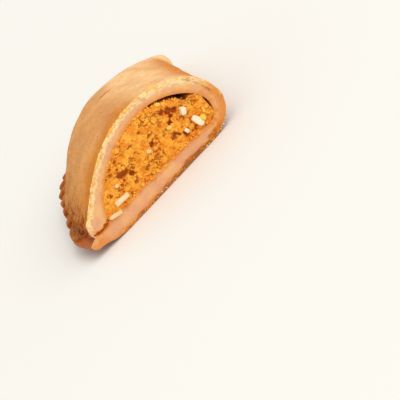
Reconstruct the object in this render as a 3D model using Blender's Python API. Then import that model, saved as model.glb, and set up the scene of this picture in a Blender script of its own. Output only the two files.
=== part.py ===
"""Cut half of a baked empanada, lying on the flat of its bottom crust.

Frame: +Z up with the floor at Z = 0. +X runs from the pressed rim to the fold, and +Y from the cut face
to the pointed far end, so the flat cut face looks along -Y. The origin is the middle of the footprint.
Pieces: 'crust' is one sheet of dough, folded over at +X and pressed shut along its round rim, and
'filling' is the cooked mince inside it, which runs through the half and shows at the cut.

Both pieces are lofted from upright sections. Section t stands on a line from the rim to the fold:
t = 0 is the cut face, and t = 1 is the tip of the ear, where the rim and the fold meet.
"""

import math

import bmesh
import bpy
import numpy as np

MM = 0.001

# Plan of the half, in millimetres.
CUT_WIDTH = 77.4  # rim to fold along the cut face
RIM_REACH = 75.6  # reach of the rim's quarter round along X
RIM_LENGTH = 67.0  # its reach along Y
RIM_SQUARE = 2.4  # its exponent: 2 is an ellipse, more bulges further out
FOLD_LENGTH = 63.0  # the fold's length along Y
FOLD_FLARE = 7.5  # how far the fold swings out on the way to the ear
EAR_REACH = 6.5  # the rim runs on past its quarter round by this much, along the ear
EAR_ROUND = 2.2  # bulge of the ear's blunt end

# Heights and the outer section, in millimetres.
CROWN_HEIGHT = 35.6  # highest point of the top crust, at the cut
CROWN_SHARE = 0.6  # the crown's place along a section, from the rim
CROWN_SHIFT = 0.09  # it moves this much closer to the rim half way round
RISE_RUN = 0.32  # pull of the rise at the lip, as a share of the way in to the crown
RISE_CLIMB = 0.56  # and as a share of the way up
CROWN_RUN = 0.43  # length of the level stretch before the crown, as a share of the way in
SHOULDER = 0.12  # how much fuller the rise to the crown is half way round
FOLD_LEAN = 0.5  # and how much leaner the fall from the crown to the fold
CROWN_SQUARE = 1.6  # exponent of the falling crown line: 2 is an ellipse, less is leaner
# The crown line swells on its way down: by how much, its distance from the cut, and its half length.
CROWN_SWELL = (2.1, 46.0, 11.0)
BODY_LENGTH = 65.0  # distance from the cut at which the crown has come down to the ear
EAR_TOP = 9.0  # top of the pressed ear
EAR_BOTTOM = 3.2  # underside of the pressed ear
BELLY_HEIGHT = 12.0  # height of the fold's furthest bulge
FOOT_FOLD = 15.0  # the fold's round runs in under the bulge by this much
FOOT_RIM = 17.0  # the flat of the base starts this far in from the rim
LEDGE_WIDTH = 2.6  # the bottom sheet shows this far beyond the top sheet at the cut
LEDGE_WIDEN = 4.6  # and this much further half way round
LEDGE_UNDER = 3.8  # underside of the ledge at the cut
LEDGE_TOP = 6.2  # its upper edge
LEDGE_LIFT = 3.8  # how much higher the ledge runs half way round the rim
# The rim's outline is uneven: how far it swells (or draws in), its distance from the cut, and its half length.
RIM_SWELLS = ((2.0, 13.0, 10.0), (-0.9, 36.0, 8.0), (1.8, 62.0, 13.0))
CREASE_HEIGHT = 7.6  # where the ledge meets the top sheet's lip
LIP_HEIGHT = 13.2  # top of the top sheet's pressed lip
LIP_LIFT = 1.4  # how much higher the lip runs half way round the rim
RIM_SINK = 1.6  # the rim starts to sink where the section is this much lower than the crown's height
RIM_FADE = 0.7  # section where ledge and crimps start to fade out
NARROW = 30.0  # sections shorter than this have a narrower base

# Pinched crimps along the rim: they start wide apart and settle to an even pitch.
CRIMP_COUNT = 14
CRIMP_FIRST = 32.5  # the first groove's distance from the cut
CRIMP_PITCH = 5.3
CRIMP_SPARE = 9.8  # extra distance shared out among the first grooves
CRIMP_SETTLE = 5.0  # number of grooves over which most of it is used up
CRIMP_WIDTH = 1.7  # distance from a groove's middle at which it is about a third as deep
CRIMP_DEPTH = 1.1
CRIMP_REACH = 8.0  # how far a groove runs up the crust from the lip

# Dough thickness and the hollow, in millimetres.
ROOF_THICK = 5.1
FOLD_THICK = 5.8
FLOOR_HEIGHT = 7.8
FLOOR_DIP = 1.5  # the floor is this much lower near the fold
RIM_SOLID = 11.0  # width of the rim where both sheets are pressed into one
HOLLOW_CROWN = 0.62  # the roof's highest place, as a share of the hollow's width from the rim
HOLLOW_SQUARE = 1.7  # exponent of the roof's fall to the fold, leaner than an ellipse
HOLLOW_TAPER = 0.93  # share of the way to a point that it has closed at its last section
HOLLOW_END = 0.86  # section where the hollow ends
HOLLOW_ROUND = 5.0  # length of its round far end

# Filling.
CLEARANCE = 0.35  # gap between filling and dough
FILLING_SHORT = 4  # the filling ends this many sections before the hollow
FILLING_ROUND = 0.6  # bulge of its far end
SAG = 2.0  # extra gap under the roof beside the fold, where the filling has settled
SAG_START = 0.68  # share of a section's width where that gap begins

# Fineness of the loft.
RIM_STATIONS = 92  # sections around the rim, an even number
HOLLOW_STATIONS = 20
STRIP_OVER = 5  # points of the top crust's rise that have the rim's finer spacing
DOME_STEPS = 3  # rings of a round end


def smooth_step(value, start, end):
    """0 before start, 1 after end, and a smooth rise between them."""
    share = np.clip((value - start) / (end - start), 0.0, 1.0)
    return share * share * (3.0 - 2.0 * share)


def bell(value, height, place, spread):
    """A bell of a height over a place, down to about a third of it one spread away."""
    return height * np.exp(-(((value - place) / spread) ** 2))


def rim_line():
    """Fine points on the rim's outermost line in plan, and the distance run at each.

    The line is a quarter superellipse from the cut, then straight on along the ear.
    """
    angle = np.linspace(0.0, math.pi / 2.0, 400)
    x = RIM_REACH * (1.0 - np.cos(angle) ** (2.0 / RIM_SQUARE))
    y = RIM_LENGTH * np.sin(angle) ** (2.0 / RIM_SQUARE)
    points = np.column_stack([x, y])
    points = np.vstack([points, points[-1] + [EAR_REACH, 0.0]])
    steps = np.linalg.norm(np.diff(points, axis=0), axis=1)
    return points, np.concatenate([[0.0], np.cumsum(steps)])


RIM_POINTS, RIM_RUN = rim_line()


def rim_point(t):
    """Point of the rim's outermost line, t being the share of its length from the cut."""
    run = t * RIM_RUN[-1]
    return np.array([np.interp(run, RIM_RUN, RIM_POINTS[:, axis]) for axis in (0, 1)])


def fold_point(t):
    """The fold's furthest bulge in plan: a slightly bowed line that swings out towards the ear."""
    x = CUT_WIDTH + FOLD_FLARE * t**1.5 + 1.2 * np.sin(math.pi * t) + 1.5 * smooth_step(t, 0.9, 1.0)
    return np.array([x, FOLD_LENGTH * t])


def crown_height(t):
    """Height of the crown line: a superellipse that falls from the cut down to the ear, and a swell."""
    crown = rim_point(t) + CROWN_SHARE * (fold_point(t) - rim_point(t))
    share = np.clip(crown[1] / BODY_LENGTH, 0.0, 1.0)
    fall = (1.0 - share**CROWN_SQUARE) ** (1.0 / CROWN_SQUARE)
    return EAR_TOP + (CROWN_HEIGHT - EAR_TOP) * fall + bell(crown[1], *CROWN_SWELL)


def base_height(t):
    """Height of the underside: flat on the floor, rising under the ear."""
    return EAR_BOTTOM * smooth_step(t, 0.82, 1.0)


def line(start, end, count):
    """Points from start up to, but without, end."""
    share = np.arange(count)[:, None] / count
    return start + (end - start) * share


def bezier(start, pull, push, end, count):
    """Cubic Bezier points from start up to, but without, end."""
    s = np.arange(count)[:, None] / count
    return (1 - s) ** 3 * start + 3 * (1 - s) ** 2 * s * pull + 3 * (1 - s) * s * s * push + s**3 * end


def quarter(start, end, flat_first, count, square=2.0):
    """Quarter superellipse from start up to, but without, end; flat_first leaves start level, not upright."""
    angle = np.arange(count) / count * math.pi / 2.0
    first, second = np.sin(angle) ** (2.0 / square), 1.0 - np.cos(angle) ** (2.0 / square)
    across, up = (first, second) if flat_first else (second, first)
    return start + (end - start) * np.stack([across, up], axis=-1)


def crimp_depth(t):
    """Depth of the grooves between crimps at section t: a bell across each groove."""
    number = np.arange(CRIMP_COUNT)
    places = CRIMP_FIRST + CRIMP_PITCH * number + CRIMP_SPARE * (1.0 - np.exp(-number / CRIMP_SETTLE))
    gap = np.abs(t * RIM_RUN[-1] - places).min()
    return CRIMP_DEPTH * math.exp(-((gap / CRIMP_WIDTH) ** 2))


def rim_corners(t, base, top, fade):
    """Corners of the pressed rim at t, from the ledge's underside up to the top sheet's lip.

    Half way round, the rim runs higher and the ledge is wider. Towards the ear it all sinks and fades out.
    """
    middle = math.sin(math.pi * t) ** 2
    lift = LEDGE_LIFT * middle**2
    low = min(1.0, RIM_SINK * (top - base) / CROWN_HEIGHT)
    ledge = (LEDGE_WIDTH + LEDGE_WIDEN * middle) * fade
    groove = crimp_depth(t) * fade
    run = t * RIM_RUN[-1]
    swell = sum(bell(run, *swell) for swell in RIM_SWELLS)
    crease = base + (CREASE_HEIGHT + lift) * low
    lip = max(crease + 0.5, min(base + (LIP_HEIGHT + LIP_LIFT * middle) * low, top - 1.0))
    return [
        np.array([0.5 - swell, base + (LEDGE_UNDER + lift) * low]),
        np.array([-swell, base + (LEDGE_TOP + lift) * low]),
        np.array([ledge + 0.6, crease]),
        np.array([ledge - 0.3 * fade + 0.6 * groove, crease + 0.35 * (lip - crease)]),
        np.array([ledge + 0.4 + 0.8 * groove, lip - 0.5 * groove]),
    ]


def outer_section(t):
    """Outer contour at t as (distance from the rim end, height) points, and the rim strip's point count.

    It runs from the base's rim foot round the ledge, the lip, the crown, the fold and back along the base.
    """
    length = float(np.linalg.norm(fold_point(t) - rim_point(t)))
    top, base = float(crown_height(t)), float(base_height(t))
    middle = math.sin(math.pi * t) ** 2
    fade = 1.0 - float(smooth_step(t, RIM_FADE, 1.0))
    wide = min(1.0, length / NARROW)

    under, edge, crease, face, lip = rim_corners(t, base, top, fade)
    foot_rim = np.array([FOOT_RIM * wide, base])
    foot_fold = np.array([length - FOOT_FOLD * wide, base])
    belly = np.array([length, base + BELLY_HEIGHT * (top - base) / CROWN_HEIGHT])
    crown = np.array([length * (CROWN_SHARE - CROWN_SHIFT * middle), top])
    climb = crown - lip
    rise = lip + climb * [RISE_RUN, RISE_CLIMB + 0.6 * SHOULDER * middle]
    arrive = crown - [(CROWN_RUN + 1.6 * SHOULDER * middle) * climb[0], 0.0]

    below = bezier(foot_rim, foot_rim * [0.55, 1.0], under + [2.6 * wide, -0.3], under, 4)
    rim = [below, line(under, edge, 1), line(edge, crease, 2), line(crease, face, 1), line(face, lip, 1)]
    over = bezier(lip, rise, arrive, crown, 13)
    reach = np.clip(1.0 - (over[1:, 0] - lip[0]) / (CRIMP_REACH * wide), 0.0, 1.0)
    over[1:, 1] -= 0.7 * crimp_depth(t) * fade * np.sqrt(reach)
    fall = quarter(crown, belly, True, 9, 2.0 - FOLD_LEAN * middle)
    under_fold = quarter(belly, foot_fold, False, 5)
    count = sum(len(piece) for piece in rim)
    return np.concatenate([*rim, over, fall, under_fold, line(foot_fold, foot_rim, 5)]), count + STRIP_OVER


def inset(points, distance):
    """Move a clockwise contour's points inwards, so that its sides move by the distance."""
    sides = np.roll(points, -1, axis=0) - points
    sides /= np.linalg.norm(sides, axis=1)[:, None]
    inward = np.column_stack([sides[:, 1], -sides[:, 0]])
    before = np.roll(inward, 1, axis=0)
    both = 1.0 + (inward * before).sum(axis=1)[:, None]
    return points + distance * (inward + before) / both


def hollow_section(t):
    """Contour of the hollow at t, from the corner at the rim over the roof and back along the floor."""
    length = float(np.linalg.norm(fold_point(t) - rim_point(t)))
    top = float(crown_height(t)) - ROOF_THICK
    left, right = RIM_SOLID, length - FOLD_THICK
    wide = (right - left) / (CUT_WIDTH - RIM_SOLID - FOLD_THICK)
    corner = np.array([left, FLOOR_HEIGHT + 0.4])
    crown = np.array([left + (right - left) * HOLLOW_CROWN, top])
    wall = np.array([right, FLOOR_HEIGHT + 0.22 * (top - FLOOR_HEIGHT)])
    foot = np.array([right - 4.5 * wide, FLOOR_HEIGHT - FLOOR_DIP])
    rise = corner + [4.0 * wide, 0.56 * (top - corner[1])]
    arrive = crown - [0.5 * (crown[0] - corner[0]), 0.0]
    swell = np.array([left + 0.5 * (right - left), FLOOR_HEIGHT + 0.9])
    return np.concatenate([
        bezier(corner, rise, arrive, crown, 11),
        quarter(crown, wall, True, 8, HOLLOW_SQUARE),
        quarter(wall, foot, False, 4),
        bezier(foot, foot - [8.0 * wide, 0.0], swell, corner, 9),
    ])


def filling_section(t):
    """Contour of the filling at t: the hollow less the clearance, settled away from the roof by the fold."""
    points = inset(hollow_section(t), CLEARANCE)
    low, high = points.min(axis=0), points.max(axis=0)
    share = (points - low) / (high - low)
    sag = SAG * (high[1] - low[1]) / (CROWN_HEIGHT - ROOF_THICK - FLOOR_HEIGHT)
    beside = smooth_step(share[:, 0], SAG_START, SAG_START + 0.12)
    points[:, 1] -= sag * beside * smooth_step(share[:, 1], 0.25, 0.6)
    return points


def placed(section, t):
    """Stand a section's (distance, height) points on its line in plan."""
    start, end = rim_point(t), fold_point(t)
    heading = (end - start) / np.linalg.norm(end - start)
    flat = start + section[:, :1] * heading
    return np.column_stack([flat, section[:, 1]])



class Skin:
    """Collects points and faces for one closed mesh."""

    def __init__(self):
        self.points = []
        self.faces = []

    def add(self, ring):
        """Add a ring of points and return their numbers."""
        start = len(self.points)
        self.points.extend(map(tuple, ring))
        return list(range(start, len(self.points)))

    def span(self, near, far):
        """Join two rings of the same count with quads."""
        count = len(near)
        for i in range(count):
            j = (i + 1) % count
            self.faces.append((near[i], near[j], far[j], far[i]))

    def dome(self, ring, t, bulge):
        """Close the last ring, at section t, with a dome that bulges straight out of the section."""
        points = np.array([self.points[i] for i in ring])
        centre = points.mean(axis=0)
        across = fold_point(t) - rim_point(t)
        ahead = np.array([-across[1], across[0], 0.0]) / np.linalg.norm(across) * bulge
        for angle in np.arange(1, DOME_STEPS + 1) / (DOME_STEPS + 1) * math.pi / 2.0:
            further = self.add(centre + (points - centre) * math.cos(angle) + ahead * math.sin(angle))
            self.span(ring, further)
            ring = further
        (tip,) = self.add([centre + ahead])
        for i, number in enumerate(ring):
            self.faces.append((number, ring[(i + 1) % len(ring)], tip))


def outer_skin(skin):
    """Loft the crust's outside, with every second section on the rim strip only. Returns its cut ring."""
    stations = np.linspace(0.0, 1.0, RIM_STATIONS + 1)
    rings = []
    for number, t in enumerate(stations):
        section, strip = outer_section(float(t))
        ring = placed(section, t)
        whole = number % 2 == 0
        rings.append((skin.add(ring if whole else ring[: strip + 1]), strip))
    for number in range(0, RIM_STATIONS, 2):
        (near, strip), (middle, _), (far, _) = rings[number : number + 3]
        for i in range(strip):
            skin.faces.append((near[i], near[i + 1], middle[i + 1], middle[i]))
            skin.faces.append((middle[i], middle[i + 1], far[i + 1], far[i]))
        last = len(near)
        for i in range(strip, last):
            j = (i + 1) % last
            corners = [near[i], near[j], far[j], far[i]]
            if i == strip:
                corners.append(middle[strip])
            if j == 0:
                corners.insert(2, middle[0])
            skin.faces.append(tuple(corners))
    skin.dome(rings[-1][0], 1.0, EAR_ROUND)
    return rings[0][0]


def inner_skin(skin, contour, bulge, short=0):
    """Loft the hollow's wall, or the filling's skin in it, short of some sections. Returns its cut ring."""
    stations = HOLLOW_END * np.sin(np.linspace(0.0, math.pi / 2.0, HOLLOW_STATIONS + 1))
    rings = []
    for t in stations[: HOLLOW_STATIONS + 1 - short]:
        shrink = (1.0 - (HOLLOW_TAPER * t / HOLLOW_END) ** 5) ** 0.5
        centre = hollow_section(float(t)).mean(axis=0)
        section = centre + (contour(float(t)) - centre) * shrink
        rings.append(skin.add(placed(section, t)))
    for near, far in zip(rings[:-1], rings[1:]):
        skin.span(near, far)
    skin.dome(rings[-1], t, bulge)
    return rings[0]


def finish(name, skin, rings, colour, roughness):
    """Make the object: fill the flat cut between the rings, face it outwards and give it its material."""
    mesh = bpy.data.meshes.new(name)
    work = bmesh.new()
    verts = [work.verts.new([value * MM for value in point]) for point in skin.points]
    for face in skin.faces:
        work.faces.new([verts[i] for i in face])
    edges = []
    for ring in rings:
        pairs = zip(ring, ring[1:] + ring[:1])
        edges += [work.edges.get((verts[a], verts[b])) for a, b in pairs]
    bmesh.ops.triangle_fill(work, use_beauty=True, edges=edges, normal=(0.0, -1.0, 0.0))
    bmesh.ops.recalc_face_normals(work, faces=work.faces)
    bmesh.ops.triangulate(work, faces=work.faces)
    work.to_mesh(mesh)
    work.free()
    mesh.shade_smooth()
    mesh.set_sharp_from_angle(angle=math.radians(40.0))
    material = bpy.data.materials.new(name)
    material.use_nodes = True
    shader = material.node_tree.nodes["Principled BSDF"]
    shader.inputs["Base Color"].default_value = (*colour, 1.0)
    shader.inputs["Roughness"].default_value = roughness
    shader.inputs["Metallic"].default_value = 0.0
    mesh.materials.append(material)
    thing = bpy.data.objects.new(name, mesh)
    bpy.context.scene.collection.objects.link(thing)
    return thing


def crust():
    """One folded sheet of dough: outside skin, hollow wall and the ring of cut dough between them."""
    skin = Skin()
    outside = outer_skin(skin)
    inside = inner_skin(skin, hollow_section, HOLLOW_ROUND)
    return finish("crust", skin, [outside, inside], (0.75, 0.40, 0.13), 0.5)


def filling():
    """The mince inside: the hollow's form less the clearance, settled away from the roof by the fold."""
    skin = Skin()
    ring = inner_skin(skin, filling_section, FILLING_ROUND, FILLING_SHORT)
    return finish("filling", skin, [ring], (0.72, 0.28, 0.05), 0.6)


def main():
    """Build both pieces and set the origin in the middle of the crust's footprint."""
    for thing in list(bpy.data.objects):
        bpy.data.objects.remove(thing, do_unlink=True)
    pieces = [crust(), filling()]
    corners = np.array([tuple(vert.co) for vert in pieces[0].data.vertices])
    middle = (corners.min(axis=0) + corners.max(axis=0)) / 2.0
    for piece in pieces:
        for vert in piece.data.vertices:
            vert.co.x -= middle[0]
            vert.co.y -= middle[1]


main()
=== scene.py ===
"""Halved empanada: a baked turnover cut across its middle, lying on its flat bottom crust.

The dough is one closed surface that runs from the pointed ear, along the crimped outside, round the cut edge,
over the cut face and back along the hollow's wall. The mince is a second closed surface with a crumbly front.
Crumbs, diced egg and yolk lie on it. Sizes are in millimetres until a mesh is written.
"""
from __future__ import annotations

import itertools
import logging
import math
from dataclasses import dataclass, field
from enum import Enum, IntEnum

import bmesh
import bpy
import numpy as np
from mathutils import Matrix, Vector

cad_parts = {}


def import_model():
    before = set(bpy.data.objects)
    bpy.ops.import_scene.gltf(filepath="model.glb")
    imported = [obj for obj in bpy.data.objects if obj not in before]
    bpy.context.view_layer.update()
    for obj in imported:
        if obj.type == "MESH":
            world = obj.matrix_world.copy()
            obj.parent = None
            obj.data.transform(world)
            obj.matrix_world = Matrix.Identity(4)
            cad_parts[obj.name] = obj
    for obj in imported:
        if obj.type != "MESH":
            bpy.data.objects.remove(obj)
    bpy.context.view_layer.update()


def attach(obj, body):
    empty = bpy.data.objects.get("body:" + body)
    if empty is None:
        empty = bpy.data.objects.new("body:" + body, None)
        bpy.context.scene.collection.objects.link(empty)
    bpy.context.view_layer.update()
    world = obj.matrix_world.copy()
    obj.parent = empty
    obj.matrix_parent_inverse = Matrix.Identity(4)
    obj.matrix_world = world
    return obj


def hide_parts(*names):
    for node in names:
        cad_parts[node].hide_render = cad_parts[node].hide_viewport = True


Array = np.ndarray
Colour = tuple[float, float, float, float]
LOG = logging.getLogger("empanada")
MM = 0.001


# ---------------------------------------------------------------- small mathematics

def srgb(red: float, green: float, blue: float) -> Colour:
    """Turn display values from 0 to 255 into a linear colour (the usual 2.4 power curve)."""
    share = np.array([red, green, blue]) / 255.0
    linear = np.where(share <= 0.04045, share / 12.92, ((share + 0.055) / 1.055) ** 2.4)
    return (float(linear[0]), float(linear[1]), float(linear[2]), 1.0)


def smooth_step(value: Array | float, low: float, high: float) -> Array:
    """Rise from 0 at low to 1 at high with level ends: 3 s^2 - 2 s^3 of the clipped share s."""
    share = np.clip((np.asarray(value, float) - low) / (high - low), 0.0, 1.0)
    return share * share * (3.0 - 2.0 * share)


def bump(value: Array, centre: float, spread: float) -> Array:
    """A bell over centre: e to the power of minus the squared distance in spreads."""
    return np.exp(-(((value - centre) / spread) ** 2))


def scrambled(cells: Array, seed: int) -> Array:
    """Even values from 0 to 1 for whole-number cells.

    The three cell numbers are multiplied by large primes and mixed by shifts and exclusive or.

    Args:
        cells: Whole numbers, the last axis being the three directions.
        seed: Another seed gives other values.

    Returns:
        One value for each cell.
    """
    whole = cells.astype(np.int64).astype(np.uint32)
    mixed = (whole[..., 0] * np.uint32(73856093)) ^ (whole[..., 1] * np.uint32(19349663))
    mixed = mixed ^ (whole[..., 2] * np.uint32(83492791)) ^ np.uint32((seed * 2654435761) & 0xFFFFFFFF)
    for shift, factor in ((16, 0x7FEB352D), (15, 0x846CA68B)):
        mixed = (mixed ^ (mixed >> np.uint32(shift))) * np.uint32(factor)
    return (mixed ^ (mixed >> np.uint32(16))) / 4294967295.0


def soft_noise(points: Array, seed: int) -> Array:
    """Smooth noise from -1 to 1: random lattice values blended by the quintic step in each direction.

    Args:
        points: Places, one unit being the size of a noise feature.
        seed: Another seed gives another pattern.

    Returns:
        One value for each place.
    """
    base = np.floor(points)
    part = points - base
    blend = part**3 * (part * (part * 6.0 - 15.0) + 10.0)
    total = np.zeros(points.shape[:-1])
    for corner in itertools.product((0, 1), repeat=3):
        weight = np.prod(np.where(np.array(corner) == 1, blend, 1.0 - blend), axis=-1)
        total += weight * scrambled(base + np.array(corner), seed)
    return 2.0 * total - 1.0


def layered_noise(points: Array, seed: int, layers: int, gain: float = 0.5) -> Array:
    """Sum of soft noises, each layer at twice the fineness and at gain times the height of the last."""
    total, height, weight = np.zeros(points.shape[:-1]), 1.0, 0.0
    for layer in range(layers):
        total += height * soft_noise(points * 2.0**layer + 17.3 * layer, seed + layer)
        weight += height
        height *= gain
    return total / weight


def cell_noise(points: Array, seed: int) -> tuple[Array, Array, Array]:
    """Distances to the two nearest of one random point in each unit cell, and the nearest cell's value.

    Args:
        points: Places, one unit being the size of a cell.
        seed: Another seed gives another pattern.

    Returns:
        The nearest distance, the second distance and a random value from 0 to 1 for the nearest point.
    """
    base = np.floor(points)
    first = np.full(points.shape[:-1], 9.0)
    second, value = first.copy(), first.copy()
    for step in itertools.product((-1, 0, 1), repeat=3):
        cell = base + np.array(step)
        place = cell + np.stack([scrambled(cell, seed + k) for k in range(3)], axis=-1)
        distance = np.linalg.norm(points - place, axis=-1)
        closer = distance < first
        second = np.where(closer, first, np.minimum(second, distance))
        value = np.where(closer, scrambled(cell, seed + 3), value)
        first = np.where(closer, distance, first)
    return first, second, value


def within(value: Array, rise: tuple[float, float], fall: tuple[float, float]) -> Array:
    """A plateau of 1 between a smooth rise and a smooth fall."""
    return smooth_step(value, *rise) * (1.0 - smooth_step(value, *fall))


def level(across: Array | float, along: Array | float) -> Array:
    """Stack two arrays as points whose third coordinate is nought, for a noise over two directions."""
    return np.stack(np.broadcast_arrays(across, along, 0.0), axis=-1)


def drift(points: Array, seed: int) -> Array:
    """A shift in three directions at each place, each from a soft noise of its own."""
    return np.stack([soft_noise(points, seed + k) for k in range(3)], axis=-1)


def pair(along: Array | float, up: Array | float) -> Array:
    """Stack two arrays as the (distance, height) points of a section."""
    return np.stack(np.broadcast_arrays(np.asarray(along, float), np.asarray(up, float)), axis=-1)


def shares(count: int) -> Array:
    """Even shares from 0 up to, but without, 1, laid out for stations by points by axes."""
    return (np.arange(count) / count)[None, :, None]


def straight(start: Array, end: Array, count: int) -> Array:
    """Points on straight lines, one line for each station: start + share x (end - start)."""
    return start[:, None] + (end - start)[:, None] * shares(count)


def curve(start: Array, pull: Array, push: Array, end: Array, count: int) -> Array:
    """Points on cubic Bezier curves, one curve for each station."""
    s = shares(count)
    a, b, c, d = (p[:, None] for p in (start, pull, push, end))
    return (1 - s) ** 3 * a + 3 * (1 - s) ** 2 * s * b + 3 * (1 - s) * s * s * c + s**3 * d


def quarter(start: Array, end: Array, level_first: bool, count: int, square: Array | float = 2.0) -> Array:
    """Points on quarter superellipses: sine and cosine to the power 2 / square, one quarter a station."""
    angle = shares(count) * math.pi / 2.0
    power = 2.0 / np.reshape(np.asarray(square, float), (-1, 1, 1))
    rising, falling = np.sin(angle) ** power, 1.0 - np.cos(angle) ** power
    across, up = (rising, falling) if level_first else (falling, rising)
    return start[:, None] + (end - start)[:, None] * np.concatenate([across, up], axis=-1)


def eased(rings: Array, passes: int) -> Array:
    """Round the corners of closed rings: each pass weighs a point 1:2:1 with its neighbours."""
    for _ in range(passes):
        rings = (np.roll(rings, 1, axis=1) + 2.0 * rings + np.roll(rings, -1, axis=1)) / 4.0
    return rings


def run_length(points: Array) -> Array:
    """Distance run along points, from 0 at the first, over the second last axis."""
    steps = np.linalg.norm(np.diff(points, axis=-2), axis=-1)
    start = np.zeros(steps.shape[:-1] + (1,))
    return np.concatenate([start, np.cumsum(steps, axis=-1)], axis=-1)


# ---------------------------------------------------------------- writing meshes

class Skin:
    """Vertices, faces and vertex attributes of one piece, gathered as arrays."""

    def __init__(self) -> None:
        """Start empty."""
        self.points: list[Array] = []
        self.faces: list[Array] = []
        self.fields: dict[str, list[Array]] = {}
        self.count = 0

    def add(self, points: Array, fields: dict[str, Array]) -> int:
        """Add vertices with their attribute values and return the number of the first one."""
        start = self.count
        self.points.append(points.reshape(-1, 3))
        for name, values in fields.items():
            self.fields.setdefault(name, []).append(np.broadcast_to(values, points.shape[:-1]).reshape(-1))
        self.count += len(self.points[-1])
        return start

    def grid(self, points: Array, fields: dict[str, Array]) -> None:
        """Add a grid that closes on itself along its second axis, with a fan over each end.

        Args:
            points: Rows by columns by three.
            fields: Attribute values, rows by columns.
        """
        rows, columns = points.shape[:2]
        start = self.add(points, fields)
        numbers = start + np.arange(rows * columns).reshape(rows, columns)
        beside = np.roll(numbers, -1, axis=1)
        quads = np.stack([numbers[:-1], beside[:-1], beside[1:], numbers[1:]], axis=-1)
        self.faces.append(quads.reshape(-1, 4))
        ends = np.stack([points[0].mean(axis=0), points[-1].mean(axis=0)])
        tips = self.add(ends, {name: np.stack([v[0].mean(), v[-1].mean()]) for name, v in fields.items()})
        self.faces.append(np.stack([beside[0], numbers[0], np.full(columns, tips)], axis=-1))
        self.faces.append(np.stack([numbers[-1], beside[-1], np.full(columns, tips + 1)], axis=-1))

    def make(self, name: str, material: bpy.types.Material) -> bpy.types.Object:
        """Write the piece's mesh, faces outwards, with its attributes and its material.

        Args:
            name: Name of the object and its mesh.
            material: Its only material.

        Returns:
            The new object, at the origin, unturned and unscaled.
        """
        points = np.concatenate(self.points) * MM
        faces = [face for block in self.faces for face in block.tolist()]
        tris = np.concatenate([np.concatenate([b[:, :3], b[:, [0, 2, 3]]]) if b.shape[1] == 4 else b
                               for b in self.faces])
        a, b, c = (points[tris[:, k]] for k in range(3))
        if np.einsum("ij,ij->i", a, np.cross(b, c)).sum() < 0.0:
            faces = [face[::-1] for face in faces]
        mesh = bpy.data.meshes.new(name)
        mesh.from_pydata(points.tolist(), [], faces)
        for field_name, blocks in self.fields.items():
            made = mesh.attributes.new(field_name, "FLOAT", "POINT")
            made.data.foreach_set("value", np.concatenate(blocks).astype(np.float32))
        mesh.shade_smooth()
        mesh.materials.append(material)
        thing = bpy.data.objects.new(name, mesh)
        bpy.context.scene.collection.objects.link(thing)
        LOG.info("%s: %d vertices, %d triangles", name, len(points), len(tris))
        return thing


def grid_normals(points: Array) -> Array:
    """Unit normals of a grid that closes along its second axis, by the cross product of its differences."""
    down = np.gradient(points, axis=0)
    over = np.roll(points, -1, axis=1) - np.roll(points, 1, axis=1)
    normal = np.cross(down, over)
    return normal / np.maximum(np.linalg.norm(normal, axis=-1, keepdims=True), 1e-9)


# ---------------------------------------------------------------- the folded dough's form

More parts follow.
